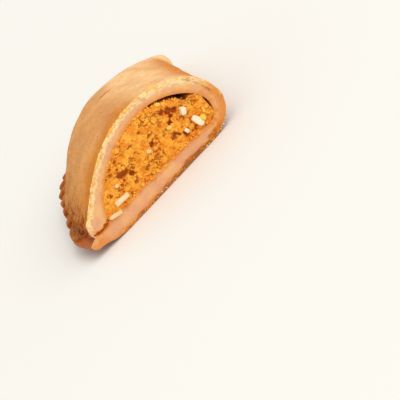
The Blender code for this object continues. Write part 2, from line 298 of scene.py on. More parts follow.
@dataclass
class TurnoverForm:
    """Sizes of the folded dough and its hollow, and the sections that follow from them.

    A station t runs from 0 at the cut to 1 at the ear. Its section is drawn as (distance from rim, height).
    A swell is its height, its middle and its spread. Sizes with no unit are shares of a section's own size.
    """

    cut_width: float = 77.4
    rim_reach: float = 75.6
    rim_length: float = 67.0
    rim_square: float = 2.4
    fold_length: float = 63.0
    fold_flare: float = 7.5
    ear_reach: float = 6.5
    crown_height: float = 35.6
    crown_share: float = 0.6
    crown_shift: float = 0.09
    crown_square: float = 1.6
    crown_swell: tuple[float, float, float] = (2.1, 46.0, 11.0)
    body_length: float = 65.0
    ear_top: float = 9.0
    ear_bottom: float = 3.2
    foot_rim: float = 17.0
    foot_fold: float = 15.0
    ledge_width: float = 2.6
    ledge_widen: float = 4.6
    ledge_under: float = 3.8
    ledge_top: float = 6.2
    ledge_lift: float = 3.8
    crease_height: float = 7.6
    lip_height: float = 13.2
    lip_lift: float = 1.4
    rim_sink: float = 1.6
    rim_fade: float = 0.7
    rim_swells: tuple[tuple[float, float, float], ...] = (
        (2.0, 13.0, 10.0), (-0.9, 36.0, 8.0), (1.8, 62.0, 13.0))
    rise_run: float = 0.32
    rise_climb: float = 0.56
    crown_run: float = 0.43
    belly_height: float = 12.0
    shoulder: float = 0.12
    fold_lean: float = 0.5
    narrow: float = 30.0
    roof_thick: float = 5.1
    fold_thick: float = 5.8
    floor_height: float = 7.8
    floor_dip: float = 1.5
    rim_solid: float = 11.0
    hollow_crown: float = 0.62
    hollow_square: float = 1.7
    hollow_taper: float = 0.93
    hollow_end: float = 0.86
    middle: tuple[float, float] = (42.67, 33.77)
    rim_points: Array = field(init=False)
    rim_run: Array = field(init=False)

    # Points laid on each stretch of the outer section, and on the hollow's.
    outer_counts: tuple[int, ...] = (12, 9, 13, 10, 10, 76, 48, 20, 18)
    hollow_counts: tuple[int, ...] = (110, 80, 40, 90)

    def __post_init__(self) -> None:
        """Lay the rim's line in plan: a quarter superellipse and the ear's short straight end."""
        angle = np.linspace(0.0, math.pi / 2.0, 400)
        along = self.rim_reach * (1.0 - np.cos(angle) ** (2.0 / self.rim_square))
        out = self.rim_length * np.sin(angle) ** (2.0 / self.rim_square)
        points = np.stack([along, out], axis=-1)
        self.rim_points = np.vstack([points, points[-1] + [self.ear_reach, 0.0]])
        self.rim_run = run_length(self.rim_points)

    def rim_at(self, t: Array) -> Array:
        """Points of the rim's outermost line in plan at stations t."""
        run = np.asarray(t) * self.rim_run[-1]
        return pair(*(np.interp(run, self.rim_run, self.rim_points[:, axis]) for axis in (0, 1)))

    def fold_at(self, t: Array) -> Array:
        """Points of the fold's furthest bulge in plan: a bowed line that swings out towards the ear."""
        t = np.asarray(t)
        swing = self.fold_flare * t**1.5 + 1.2 * np.sin(math.pi * t) + 1.5 * smooth_step(t, 0.9, 1.0)
        return pair(self.cut_width + swing, self.fold_length * t)

    def top_at(self, t: Array) -> Array:
        """Height of the crown line: a superellipse that falls from the cut down to the ear, and a swell."""
        rim, fold = self.rim_at(t), self.fold_at(t)
        back = (rim + self.crown_share * (fold - rim))[..., 1]
        share = np.clip(back / self.body_length, 0.0, 1.0)
        fall = (1.0 - share**self.crown_square) ** (1.0 / self.crown_square)
        height, place, spread = self.crown_swell
        return self.ear_top + (self.crown_height - self.ear_top) * fall + height * bump(back, place, spread)

    def width_at(self, t: Array) -> Array:
        """Length of the section lines from rim to fold."""
        return np.linalg.norm(self.fold_at(t) - self.rim_at(t), axis=-1)

    def outer_sections(self, t: Array) -> tuple[Array, int]:
        """Outer contours at stations t, without the fork's grooves.

        Each runs from the base's rim foot round the ledge, up over the lip, the crown and the fold, and back
        along the base, as Bezier curves, straight lines and quarter superellipses between named corners.

        Args:
            t: Stations.

        Returns:
            Sections, stations by points by two, and the number of the lip's point.
        """
        length, top = self.width_at(t), self.top_at(t)
        base = self.ear_bottom * smooth_step(t, 0.82, 1.0)
        middle = np.sin(math.pi * t) ** 2
        fade = 1.0 - smooth_step(t, self.rim_fade, 1.0)
        wide = np.minimum(1.0, length / self.narrow)
        low = np.minimum(1.0, self.rim_sink * (top - base) / self.crown_height)
        lift = self.ledge_lift * middle**2
        ledge = (self.ledge_width + self.ledge_widen * middle) * fade
        run = t * self.rim_run[-1]
        swell = sum(height * bump(run, place, spread) for height, place, spread in self.rim_swells)
        crease_up = base + (self.crease_height + lift) * low
        lip_up = np.minimum(base + (self.lip_height + self.lip_lift * middle) * low, top - 1.0)
        lip_up = np.maximum(crease_up + 0.5, lip_up)
        under = pair(0.5 - swell, base + (self.ledge_under + lift) * low)
        edge = pair(-swell, base + (self.ledge_top + lift) * low)
        crease = pair(ledge + 0.6, crease_up)
        face = pair(ledge - 0.3 * fade, crease_up + 0.35 * (lip_up - crease_up))
        lip = pair(ledge + 0.4, lip_up)
        foot_rim, foot_fold = pair(self.foot_rim * wide, base), pair(length - self.foot_fold * wide, base)
        belly = pair(length, base + self.belly_height * (top - base) / self.crown_height)
        crown = pair(length * (self.crown_share - self.crown_shift * middle), top)
        climb = crown - lip
        rise = lip + climb * pair(self.rise_run, self.rise_climb + 0.6 * self.shoulder * middle)
        arrive = crown - pair((self.crown_run + 1.6 * self.shoulder * middle) * climb[:, 0], 0.0)
        n = self.outer_counts
        pieces = [
            curve(foot_rim, foot_rim * pair(0.55, 1.0), under + pair(2.6 * wide, -0.3), under, n[0]),
            straight(under, edge, n[1]),
            straight(edge, crease, n[2]),
            straight(crease, face, n[3]),
            straight(face, lip, n[4]),
            curve(lip, rise, arrive, crown, n[5]),
            quarter(crown, belly, True, n[6], 2.0 - self.fold_lean * middle),
            quarter(belly, foot_fold, False, n[7]),
            straight(foot_fold, foot_rim, n[8]),
        ]
        return eased(np.concatenate(pieces, axis=1), 3), sum(n[:5])

    def hollow_sections(self, t: Array) -> Array:
        """Contours of the hollow at stations t: from the rim corner over the roof, back along the floor."""
        length, top = self.width_at(t), self.top_at(t) - self.roof_thick
        left, right = np.full_like(length, self.rim_solid), length - self.fold_thick
        wide = (right - left) / (self.cut_width - self.rim_solid - self.fold_thick)
        corner = pair(left, self.floor_height + 0.4)
        crown = pair(left + (right - left) * self.hollow_crown, top)
        wall = pair(right, self.floor_height + 0.22 * (top - self.floor_height))
        foot = pair(right - 4.5 * wide, self.floor_height - self.floor_dip)
        rise = corner + pair(4.0 * wide, 0.56 * (top - corner[:, 1]))
        arrive = crown - pair(0.5 * (crown - corner)[:, 0], 0.0)
        swell = pair(left + 0.5 * (right - left), self.floor_height + 0.9)
        n = self.hollow_counts
        rings = np.concatenate([
            curve(corner, rise, arrive, crown, n[0]),
            quarter(crown, wall, True, n[1], self.hollow_square),
            quarter(wall, foot, False, n[2]),
            curve(foot, foot - pair(8.0 * wide, 0.0), swell, corner, n[3]),
        ], axis=1)
        centre = rings.mean(axis=1, keepdims=True)
        shrink = (1.0 - (self.hollow_taper * t / self.hollow_end) ** 5) ** 0.5
        return centre + (rings - centre) * shrink[:, None, None]

    def placed(self, sections: Array, t: Array) -> Array:
        """Stand (distance, height) points on their stations' lines in plan, in the row frame."""
        start = self.rim_at(t)
        heading = (self.fold_at(t) - start) / self.width_at(t)[:, None]
        flat = start[:, None] + sections[..., :1] * heading[:, None] - np.array(self.middle)
        return np.concatenate([flat, sections[..., 1:]], axis=-1)

    def ahead(self, t: float) -> Array:
        """Unit direction square to the section at t, towards the ear."""
        across = (self.fold_at(np.array([t])) - self.rim_at(np.array([t])))[0]
        return np.array([-across[1], across[0], 0.0]) / np.linalg.norm(across)

    def section_place(self, points: Array) -> Array:
        """The (distance, height) on the cut of points in the row frame."""
        return pair(points[..., 0] + self.middle[0], points[..., 2])

    @property
    def cut_plane(self) -> float:
        """Where the cut stands along Y."""
        return -self.middle[1]


def dome(ring: Array, ahead: Array, steps: int) -> Array:
    """Rows that close a ring: its points shrink by the cosine while they move ahead by the sine.

    Args:
        ring: Points of the ring.
        ahead: How far and which way the dome bulges.
        steps: Number of rows.

    Returns:
        Rows by points by three, from the first beyond the ring to just short of the tip.
    """
    angle = (np.arange(1, steps + 1) / (steps + 0.6) * math.pi / 2.0)[:, None, None]
    centre = ring.mean(axis=0)
    return centre + (ring - centre) * np.cos(angle) + ahead * np.sin(angle)


# ---------------------------------------------------------------- shared effects for materials

class Board:
    """Places nodes on a node tree; values are set and sockets are linked by input name or number."""

    def __init__(self, tree: bpy.types.NodeTree) -> None:
        """Work on this tree."""
        self.tree = tree

    def place(self, kind: str, settings: dict | None = None, **inputs: object) -> bpy.types.Node:
        """Add a node.

        Args:
            kind: Node type without its ShaderNode prefix.
            settings: Properties of the node.
            **inputs: Input name, with underscores for spaces, or i and its number, to a socket or a value.

        Returns:
            The node.
        """
        node = self.tree.nodes.new("ShaderNode" + kind)
        for key, value in (settings or {}).items():
            setattr(node, key, value)
        for key, value in inputs.items():
            name = int(key[1:]) if key[0] == "i" and key[1:].isdigit() else key.replace("_", " ")
            if isinstance(value, bpy.types.NodeSocket):
                self.tree.links.new(value, node.inputs[name])
            else:
                node.inputs[name].default_value = value
        return node

    def field(self, name: str) -> bpy.types.NodeSocket:
        """The value of one of the piece's attributes."""
        return self.place("Attribute", {"attribute_name": name}).outputs["Fac"]

    def maths(self, operation: str, *values: object) -> bpy.types.NodeSocket:
        """A number worked out from one or more numbers."""
        inputs = {f"i{number}": value for number, value in enumerate(values)}
        return self.place("Math", {"operation": operation}, **inputs).outputs[0]

    def mix(self, amount: object, first: object, second: object) -> bpy.types.NodeSocket:
        """Blend two colours by an amount."""
        return self.place("Mix", {"data_type": "RGBA"}, i0=amount, i6=first, i7=second).outputs[2]

    def tint(self, colour: object, tone: Colour, mask: object, strength: float) -> bpy.types.NodeSocket:
        """Lay a tone over a colour where a mask says, at a share of its full strength."""
        return self.mix(self.maths("MULTIPLY", mask, strength), colour, tone)

    def ramp(self, value: object, low: float, high: float, start: float = 0.0, end: float = 1.0
             ) -> bpy.types.NodeSocket:
        """Map a number's stretch from low to high onto start to end, smoothly and clamped."""
        node = self.place("MapRange", {"interpolation_type": "SMOOTHSTEP"}, Value=value, From_Min=low,
                          From_Max=high, To_Min=start, To_Max=end)
        return node.outputs[0]

    def noise(self, scale: float, detail: float = 2.0, roughness: float = 0.5) -> bpy.types.NodeSocket:
        """Noise from 0 to 1 on Object coordinates; scale is in features to the metre."""
        place = self.place("TexCoord").outputs["Object"]
        node = self.place("TexNoise", Vector=place, Scale=scale, Detail=detail, Roughness=roughness)
        return node.outputs["Fac"]

    def wire(self, shader: bpy.types.Node, sockets: dict[str, bpy.types.NodeSocket]) -> None:
        """Link sockets to a shader's inputs by name."""
        for name, socket in sockets.items():
            self.tree.links.new(socket, shader.inputs[name])


def start_group(name: str, inputs: dict[str, float], outputs: dict[str, str]
                ) -> tuple[bpy.types.NodeTree, Board, bpy.types.Node, bpy.types.Node]:
    """Begin a shader node group with named number inputs and named outputs.

    Args:
        name: The group's name.
        inputs: Number inputs and their first values.
        outputs: Outputs and their socket types.

    Returns:
        The tree, its board, its input node and its output node.
    """
    tree = bpy.data.node_groups.new(name, "ShaderNodeTree")
    for key, value in inputs.items():
        tree.interface.new_socket(key, in_out="INPUT", socket_type="NodeSocketFloat").default_value = value
    for key, kind in outputs.items():
        tree.interface.new_socket(key, in_out="OUTPUT", socket_type=kind)
    return tree, Board(tree), tree.nodes.new("NodeGroupInput"), tree.nodes.new("NodeGroupOutput")


def speckle_group() -> bpy.types.NodeTree:
    """Scattered small specks: cells nearer than Size to their point, kept where a slow noise allows."""
    tree, board, given, result = start_group(
        "scattered specks", {"Scale": 500.0, "Size": 0.2, "Share": 0.3}, {"Mask": "NodeSocketFloat"})
    place = board.place("TexCoord").outputs["Object"]
    cells = board.place("TexVoronoi", Vector=place, Scale=given.outputs["Scale"], Randomness=1.0)
    near = board.maths("LESS_THAN", cells.outputs["Distance"], given.outputs["Size"])
    lot = board.place("SeparateColor", Color=cells.outputs["Color"]).outputs[0]
    kept = board.maths("LESS_THAN", lot, given.outputs["Share"])
    tree.links.new(board.maths("MULTIPLY", near, kept), result.inputs["Mask"])
    return tree


def grain_group() -> bpy.types.NodeTree:
    """Baked dough's fine grain: two noises of different fineness, as a height and as a mottling value."""
    tree, board, given, result = start_group(
        "dough grain", {"Coarse": 260.0, "Fine": 1500.0, "Rough": 0.5},
        {"Height": "NodeSocketFloat", "Mottle": "NodeSocketFloat"})
    place = board.place("TexCoord").outputs["Object"]
    coarse = board.place("TexNoise", Vector=place, Scale=given.outputs["Coarse"], Detail=4.0,
                         Roughness=given.outputs["Rough"]).outputs["Fac"]
    fine = board.place("TexNoise", Vector=place, Scale=given.outputs["Fine"], Detail=3.0,
                       Roughness=0.6).outputs["Fac"]
    for output, share in (("Height", 0.6), ("Mottle", 0.5)):
        parts = [board.maths("MULTIPLY", coarse, share), board.maths("MULTIPLY", fine, 1.0 - share)]
        tree.links.new(board.maths("ADD", *parts), result.inputs[output])
    return tree


@dataclass
class SharedEffects:
    """The node groups that several finishes use."""

    speckle: bpy.types.NodeTree = field(default_factory=speckle_group)
    grain: bpy.types.NodeTree = field(default_factory=grain_group)


def start_material(name: str) -> tuple[bpy.types.Material, Board, bpy.types.Node]:
    """A new node material, its board and its Principled shader."""
    material = bpy.data.materials.new(name)
    material.use_nodes = True
    return material, Board(material.node_tree), material.node_tree.nodes["Principled BSDF"]


# ---------------------------------------------------------------- finishes

@dataclass(frozen=True)
class DoughFinish:
    """Baked dough: tan and golden outside, cream to pinkish where it is cut, browned under the base."""

    tan: Colour = srgb(196, 124, 50)
    warm: Colour = srgb(222, 152, 66)
    # The pale tone is the painted highlight on top.
    pale: Colour = srgb(252, 212, 154)
    golden: Colour = srgb(216, 128, 16)
    brown: Colour = srgb(160, 76, 16)
    glaze: Colour = srgb(184, 88, 0)
    # Also painted shade in the slit.
    scorch_and_slit_shade: Colour = srgb(84, 34, 10)
    cream: Colour = srgb(255, 228, 172)
    butter: Colour = srgb(246, 176, 52)
    dough: Colour = srgb(238, 184, 126)
    pink: Colour = srgb(228, 168, 128)
    stain: Colour = srgb(222, 130, 24)
    toast: Colour = srgb(158, 92, 40)
    seam: Colour = srgb(152, 66, 6)
    # The wall tone is painted shade inside the hollow.
    wall: Colour = srgb(120, 56, 16)

    def outside_colour(self, board: Board, effects: SharedEffects, mottle: bpy.types.NodeSocket
                       ) -> bpy.types.NodeSocket:
        """Clouds of tan, paler on top by a painted highlight, golden and browned where the masks say, with
        dark pores.
        """
        colour = board.mix(board.ramp(board.noise(75.0, 3.0, 0.6), 0.38, 0.64), self.tan, self.warm)
        # Painted highlight: the light mask lays the pale tone where the surface faces up, and thins the
        # browned spots there.
        colour = board.tint(colour, self.pale, board.field("light"), 0.9)
        colour = board.tint(colour, self.golden, board.field("bake"), 0.85)
        spotted = board.maths("MULTIPLY", mottle, board.ramp(board.field("light"), 0.0, 1.0, 0.28, 0.1))
        colour = board.mix(spotted, colour, self.brown)
        colour = board.tint(colour, self.golden, board.ramp(board.noise(420.0, 3.0, 0.6), 0.5, 0.68), 0.28)
        # The brown mask: browning on the rim, torn lumps and underside, and painted shade in the grooves and
        # pleats.
        colour = board.mix(board.field("brown"), colour, self.brown)
        colour = board.mix(board.field("glaze"), colour, self.glaze)
        pores = board.place("Group", {"node_tree": effects.speckle}, Scale=700.0, Size=0.24, Share=0.3)
        return board.tint(colour, self.brown, pores.outputs["Mask"], 0.5)

    def cut_colour(self, board: Board, mottle: bpy.types.NodeSocket) -> bpy.types.NodeSocket:
        """Pinkish dough with a cream rind, stained by fat, browned at the base, and dark in the hollow as
        painted shade.
        """
        colour = board.mix(board.ramp(board.noise(160.0, 3.0), 0.35, 0.65), self.dough, self.pink)
        pale_rind = board.mix(board.ramp(board.noise(900.0, 3.0, 0.6), 0.54, 0.7), self.cream, self.dough)
        browned = board.mix(board.ramp(board.noise(900.0, 3.0, 0.6), 0.48, 0.66), self.toast, self.stain)
        tones = {"rind": pale_rind, "stain": self.stain, "seam": self.seam, "toast": browned}
        for mask, tone in tones.items():
            colour = board.mix(board.field(mask), colour, tone)
        colour = board.tint(colour, self.stain, mottle, 0.16)
        # Painted shade: the wall mask darkens the hollow's inner wall.
        return board.mix(board.field("wall"), colour, self.wall)

    def material(self, effects: SharedEffects) -> bpy.types.Material:
        """Blend the colours by the crust's attributes, with grain, pores and a glaze coat."""
        material, board, shader = start_material("baked dough")
        grain = board.place("Group", {"node_tree": effects.grain}, Coarse=240.0, Fine=1300.0, Rough=0.55)
        mottle = board.ramp(grain.outputs["Mottle"], 0.36, 0.64)
        outside = self.outside_colour(board, effects, mottle)
        colour = board.mix(board.field("cut"), outside, self.cut_colour(board, mottle))
        colour = board.mix(board.field("crumb"), colour, self.butter)
        # Scorch on the torn lumps and the deep pool, and painted shade in the slit.
        colour = board.mix(board.field("scorch_and_slit_shade"), colour, self.scorch_and_slit_shade)
        rough = board.ramp(board.field("glaze"), 0.0, 1.0, 0.64, 0.34)
        rough = board.maths("ADD", rough, board.maths("MULTIPLY", board.field("cut"), 0.1))
        relief = board.place("Bump", Strength=0.9, Distance=0.0008, Height=grain.outputs["Height"])
        board.wire(shader, {
            "Base Color": colour, "Roughness": rough, "Normal": relief.outputs["Normal"],
            "Coat Weight": board.maths("MULTIPLY", board.field("glaze"), 0.06),
        })
        shader.inputs["Coat Roughness"].default_value = 0.15
        shader.inputs["Specular IOR Level"].default_value = 0.14
        return material


@dataclass(frozen=True)
class MinceFinish:
    """Moist spiced mince: golden orange crumbs, with painted red-brown shade in the hollows."""

    orange: Colour = srgb(240, 146, 26)
    golden: Colour = srgb(254, 182, 62)
    brick: Colour = srgb(208, 104, 16)
    # The pit tone is painted shade in the front's pits and hollows.
    pit_shade: Colour = srgb(164, 52, 12)

    def material(self, effects: SharedEffects) -> bpy.types.Material:
        """Blend the oranges by noise and by each crumb's own tone, and paint shade into the hollows."""
        material, board, shader = start_material("spiced mince")
        grain = board.place("Group", {"node_tree": effects.grain}, Coarse=480.0, Fine=1800.0, Rough=0.6)
        tone, mottle = board.field("tone"), grain.outputs["Mottle"]
        colour = board.mix(board.ramp(board.noise(330.0, 4.0, 0.6), 0.4, 0.62), self.orange, self.golden)
        colour = board.tint(colour, self.golden, board.ramp(tone, 0.55, 1.0), 0.7)
        colour = board.tint(colour, self.brick, board.ramp(tone, 0.3, 0.0), 0.4)
        colour = board.tint(colour, self.brick, board.ramp(mottle, 0.5, 0.68), 0.3)
        # Painted shade: darker in the pits and hollows.
        colour = board.mix(board.field("pit_shade"), colour, self.pit_shade)
        relief = board.place("Bump", Strength=0.6, Distance=0.0004, Height=grain.outputs["Height"])
        board.wire(shader, {
            "Base Color": colour, "Roughness": board.ramp(mottle, 0.3, 0.7, 0.38, 0.62),
            "Normal": relief.outputs["Normal"],
        })
        shader.inputs["Specular IOR Level"].default_value = 0.25
        return material


@dataclass(frozen=True)
class EggFinish:
    """Boiled egg: a main tone and the tint that the mince's fat gives it in places."""

    name: str
    main: Colour
    tint: Colour
    rough: float = 0.35

    def material(self, effects: SharedEffects) -> bpy.types.Material:
        """Tint the main tone by a slow noise and by each bit's own tone, and give it a fine grain."""
        material, board, shader = start_material(self.name)
        grain = board.place("Group", {"node_tree": effects.grain}, Coarse=500.0, Fine=2500.0, Rough=0.5)
        colour = board.tint(self.main, self.tint, board.ramp(board.noise(420.0, 2.0), 0.5, 0.72), 0.6)
        colour = board.mix(board.field("tone"), colour, self.tint)
        relief = board.place("Bump", Strength=0.3, Distance=0.0002, Height=grain.outputs["Height"])
        board.wire(shader, {"Base Color": colour, "Normal": relief.outputs["Normal"]})
        shader.inputs["Roughness"].default_value = self.rough
        return material


# ---------------------------------------------------------------- the crust

class Stretch(IntEnum):
    """The stretches of the crust's rows, from the ear to the end of the hollow."""

    EAR = 0
    OUTSIDE = 1
    EDGE = 2
    FACE = 3
    HOLLOW = 4
    BACK = 5


@dataclass
class Sheet:
    """The crust's plain surface and what its relief and masks read from it, rows by columns.

    Run is the distance along the rim from the cut, and climb the distance up the dome from the lip, less than
    nought on the ledge. Section is the (distance from the rim, height) on the cut. Behind is the distance
    behind the cut, depth the distance in from the cut's outer edge, and thick the dough's thickness there.
    Outside, edge, face and inside are 1 on their stretches, and on_roof and on_base are 1 on those columns.
    Ragged is a noise that frays the borders between tones.
    """

    points: Array
    normals: Array
    run: Array
    climb: Array
    section: Array
    behind: Array
    depth: Array
    thick: Array
    outside: Array
    edge: Array
    face: Array
    inside: Array
    on_roof: Array
    on_base: Array
    ragged: Array


@dataclass
class Crust:
    """The folded dough: one closed surface from the ear to the end of the hollow.

    Depths and heights of the surface detail are in millimetres. A line on the cut is a chain of (distance
    from the rim, height) corners, and the slit's ends are places in plan.
    """

    form: TurnoverForm
    stations: int = 250
    edge_setback: float = 0.9
    edge_rows: int = 7
    cut_rows: int = 26
    hollow_rows: int = 14
    back_rows: int = 4
    ear_rows: int = 7
    ear_bulge: float = 2.2
    back_bulge: float = 5.0
    bevel: float = 0.75
    grooves: int = 14
    groove_pitch: float = 5.3
    groove_spread: float = 9.8
    groove_first: float = 37.0
    groove_depth: float = 1.7
    groove_width: float = 0.8
    groove_slope: float = 2.2
    groove_lean: float = 0.85
    groove_reach: float = 6.5
    swell_height: float = 0.45
    blister_height: float = 0.1
    pleat_depth: float = 0.55
    lump_depth: float = 1.1
    pool_depth: float = 0.6
    slit_depth: float = 1.1
    slit_ends: tuple[tuple[float, float], tuple[float, float]] = ((3.0, 1.9), (11.8, 4.6))
    slit_width: float = 0.75
    rind_width: tuple[float, float] = (2.2, 3.3)
    crumble_height: float = 0.34
    seam_depth: float = 0.7
    seam_line: tuple[tuple[float, float], ...] = ((0.5, 8.6), (3.7, 8.4), (8.1, 7.7), (11.3, 8.8))
    crack_depth: float = 0.3
    crack_line: tuple[tuple[float, float], ...] = ((69.6, 26.4), (72.7, 21.6), (74.7, 15.6))

    def outside_rows(self) -> tuple[Array, Array, int]:
        """Rows of the outside, from the ear back to just behind the cut.

        Returns:
            Sections on their stations, the stations, and the lip's column.
        """
        step = np.linspace(0.0, 1.0, self.stations)
        start = self.edge_setback / self.form.rim_run[-1]
        t = start + (1.0 - start) * (0.5 * step + 0.5 * step**2)
        sections, lip = self.form.outer_sections(t)
        return sections[::-1], t[::-1], lip

    @staticmethod
    def inner_match(outer: Array, hollow: Array) -> Array:
        """Where on the hollow's contour each outer column ends, as a running number.

        The nearest hollow point to each outer point gives the place; a running maximum and a share of even
        spacing keep the lines across the cut from crossing.
        """
        count, half = len(hollow), len(outer) // 2
        nearest = np.linalg.norm(outer[:, None] - hollow[None], axis=-1).argmin(axis=1).astype(float)
        start = nearest[0]
        nearest = (nearest - start) % count
        nearest[:half] = np.where(nearest[:half] > 0.75 * count, 0.0, nearest[:half])
        nearest = np.maximum.accumulate(nearest)
        even = np.linspace(0.0, count, len(outer), endpoint=False)
        smooth = np.convolve(np.pad(nearest, 4, mode="edge"), np.ones(9) / 9.0, mode="valid")
        return start + 0.94 * smooth + 0.06 * even

    @staticmethod
    def pick(rings: Array, place: Array) -> Array:
        """Points of closed rings at running numbers, straight between neighbours."""
        count = rings.shape[1]
        low = np.floor(place).astype(int)
        share = (place - low)[None, :, None]
        return rings[:, low % count] * (1.0 - share) + rings[:, (low + 1) % count] * share

    def cut_blocks(self, start_ring: Array, match: Array) -> tuple[Array, Array]:
        """Rows of the rounded edge and of the cut face.

        The edge is a quadratic Bezier curve from the outside's last row, pulled to the cut's outline, to a
        ring set in on the cut by an uneven bevel. The face runs on straight to the hollow's outline.

        Args:
            start_ring: The outside's last row.
            match: Where each column ends on the hollow's contour.

        Returns:
            The edge's rows and the face's rows.
        """
        form, zero = self.form, np.array([0.0])
        outer = form.outer_sections(zero)[0][0]
        inner = self.pick(form.hollow_sections(zero), match)[0]
        across = inner - outer
        bevel = self.bevel + 0.35 * soft_noise(level(outer[:, 0] / 1.6, outer[:, 1] / 1.6), 11)
        bevel[outer[:, 1] < 1.0] *= 0.25
        set_in = outer + across / np.linalg.norm(across, axis=1)[:, None] * bevel[:, None]
        corner, on_cut, end = (form.placed(ring[None], zero)[0] for ring in (outer, set_in, inner))
        q = (np.arange(1, self.edge_rows + 1) / self.edge_rows)[:, None, None]
        edge = (1 - q) ** 2 * start_ring + 2 * (1 - q) * q * corner + q * q * on_cut
        w = np.arange(1, self.cut_rows + 1) / self.cut_rows
        w = (0.75 * w + 0.25 * w**2)[:, None, None]
        return edge, on_cut + (end - on_cut) * w

    def plain_sheet(self) -> Sheet:
        """Lay the crust's rows without relief, and measure them."""
        form, zero = self.form, np.array([0.0])
        sections, t, lip = self.outside_rows()
        outside = form.placed(sections, t)
        ear = dome(outside[0], self.ear_bulge * form.ahead(1.0), self.ear_rows)[::-1]
        match = self.inner_match(form.outer_sections(zero)[0][0], form.hollow_sections(zero)[0])
        edge, face = self.cut_blocks(outside[-1], match)
        deep = form.hollow_end * np.sin(np.linspace(0.006, math.pi / 2.0, self.hollow_rows))
        hollow = form.placed(self.pick(form.hollow_sections(deep), match), deep)
        back = dome(hollow[-1], self.back_bulge * form.ahead(float(deep[-1])), self.back_rows)

        blocks = (ear, outside, edge, face, hollow, back)
        points = np.concatenate(blocks)
        stretch = np.repeat(list(Stretch), [len(block) for block in blocks])
        run = np.concatenate([np.full(len(ear), t[0]), t, np.zeros(len(points) - len(ear) - len(t))])
        climb = run_length(points)
        climb -= climb[:, lip : lip + 1]
        normals = grid_normals(points)
        row, column = len(ear) + 20, lip + 40
        if normals[row, column] @ (points[row, column] - points[row].mean(axis=0)) < 0.0:
            normals = -normals

        walk = run_length(np.swapaxes(points, 0, 1)).T
        first = np.flatnonzero(stretch == Stretch.EDGE)[0]
        depth = np.zeros_like(climb)
        depth[first:] = walk[first:] - walk[first - 1]
        # The roof's columns run from the lip's face over the crown to the fold, and the base's from the
        # fold's foot round to the rim's foot. Both fade in and out over some columns.
        number = np.broadcast_to(np.arange(points.shape[1]), climb.shape)
        ends, fade = np.cumsum(form.outer_counts), 12
        on_base = smooth_step(number, ends[7] - 10, ends[7]) + (1.0 - smooth_step(number, 0, ends[0]))
        section = form.section_place(points)
        ragged = layered_noise(level(section[..., 0] / 1.3, section[..., 1] / 1.3), 41, 3)

        def on(*kinds: Stretch) -> Array:
            """1 on the rows of some stretches and 0 on the others."""
            return np.broadcast_to(np.isin(stretch, kinds).astype(float)[:, None], climb.shape)

        return Sheet(
            points=points, normals=normals, climb=climb, section=section, depth=depth, ragged=ragged,
            run=np.broadcast_to((run * form.rim_run[-1])[:, None], climb.shape),
            behind=points[..., 1] - form.cut_plane,
            thick=depth[np.flatnonzero(stretch == Stretch.FACE)[-1]][None],
            outside=on(Stretch.EAR, Stretch.OUTSIDE), edge=on(Stretch.EDGE), face=on(Stretch.FACE),
            inside=on(Stretch.HOLLOW, Stretch.BACK),
            on_roof=within(number, (ends[3], ends[4]), (ends[6] - fade, ends[6])),
            on_base=np.clip(on_base, 0.0, 1.0),
        )

    def build(self, material: bpy.types.Material) -> bpy.types.Object:
        """Build the crust's mesh with its relief and its attributes."""
        s = self.plain_sheet()
        marks = self.outside_marks(s)
        cuts, cut_lift = self.cut_relief(s)
        lift = (self.outside_relief(s, marks) + cut_lift) * (1.0 - s.inside)
        lift -= s.outside * self.slit_depth * marks["slit"]
        skin = Skin()
        skin.grid(s.points + lift[..., None] * s.normals, self.masks(s, marks, cuts))
        return skin.make("baked_crust", material)

    def outside_marks(self, s: Sheet) -> dict[str, Array]:
        """The outside's marks, each from 0 to 1: grooves, pleats, torn lumps, glazed pool, slit."""
        fade_ear = 1.0 - smooth_step(s.run / self.form.rim_run[-1], 0.8, 0.97)

        # Fine pleats that run up the dome from the rim: ridged noise, narrow along the rim, long up the dome.
        ridges = np.abs(soft_noise(level(s.run * 0.95 + 0.12 * s.climb, s.climb * 0.12), 21))
        pleats = np.clip(1.0 - ridges * 4.0, 0.0, 1.0) * within(s.climb, (-2.5, -0.5), (5.0, 15.0))
        pleats = pleats * (1.0 - 0.75 * smooth_step(s.run, 22.0, 36.0)) * fade_ear

        # Pinched, torn-looking lumps on the ledge near the cut: cells with grooves between them.
        bent = level((s.run + 0.5 * s.climb) / 1.3, s.climb / 2.6) + 0.5 * drift(s.points / 1.4, 34)
        near, far, _ = cell_noise(bent, 31)
        pinched = smooth_step(s.run + 0.6 * s.climb, 3.0, 7.0) * (1.0 - smooth_step(s.run, 20.0, 27.0))
        torn = pinched * within(s.climb, (-12.5, -9.0), (1.0, 5.5)) * smooth_step(far - near, 0.12, 0.4)
        return {
            "grooves": self.grooved(s.run, s.climb), "pleats": pleats, "torn": torn,
            "pool": self.pool(s.run, s.climb), "slit": self.slit(s.points), "fade_ear": fade_ear,
        }

    def outside_relief(self, s: Sheet, marks: dict[str, Array]) -> Array:
        """Lift of the outside: the hand-rolled dough's broad swells and small blisters, less its marks."""
        above = smooth_step(s.points[..., 2], 0.3, 2.5)
        swell = self.swell_height * layered_noise(s.points / 14.0, 1, 3)
        swell += self.blister_height * layered_noise(s.points / 2.6, 5, 2)
        lift = above * swell * (0.25 + 0.75 * smooth_step(s.behind, 0.5, 6.0))
        lift -= marks["fade_ear"] * self.groove_depth * marks["grooves"]
        lift -= self.pleat_depth * marks["pleats"] + self.lump_depth * marks["torn"]
        lift -= self.pool_depth * marks["pool"] * smooth_step(s.climb, -9.0, -5.0)
        lift = s.outside * lift
        lip_edge = s.edge + s.outside * (1.0 - smooth_step(s.behind, 0.6, 2.2))
        return lift + lip_edge * above * self.crumble_height * layered_noise(s.points / 0.9, 71, 3)

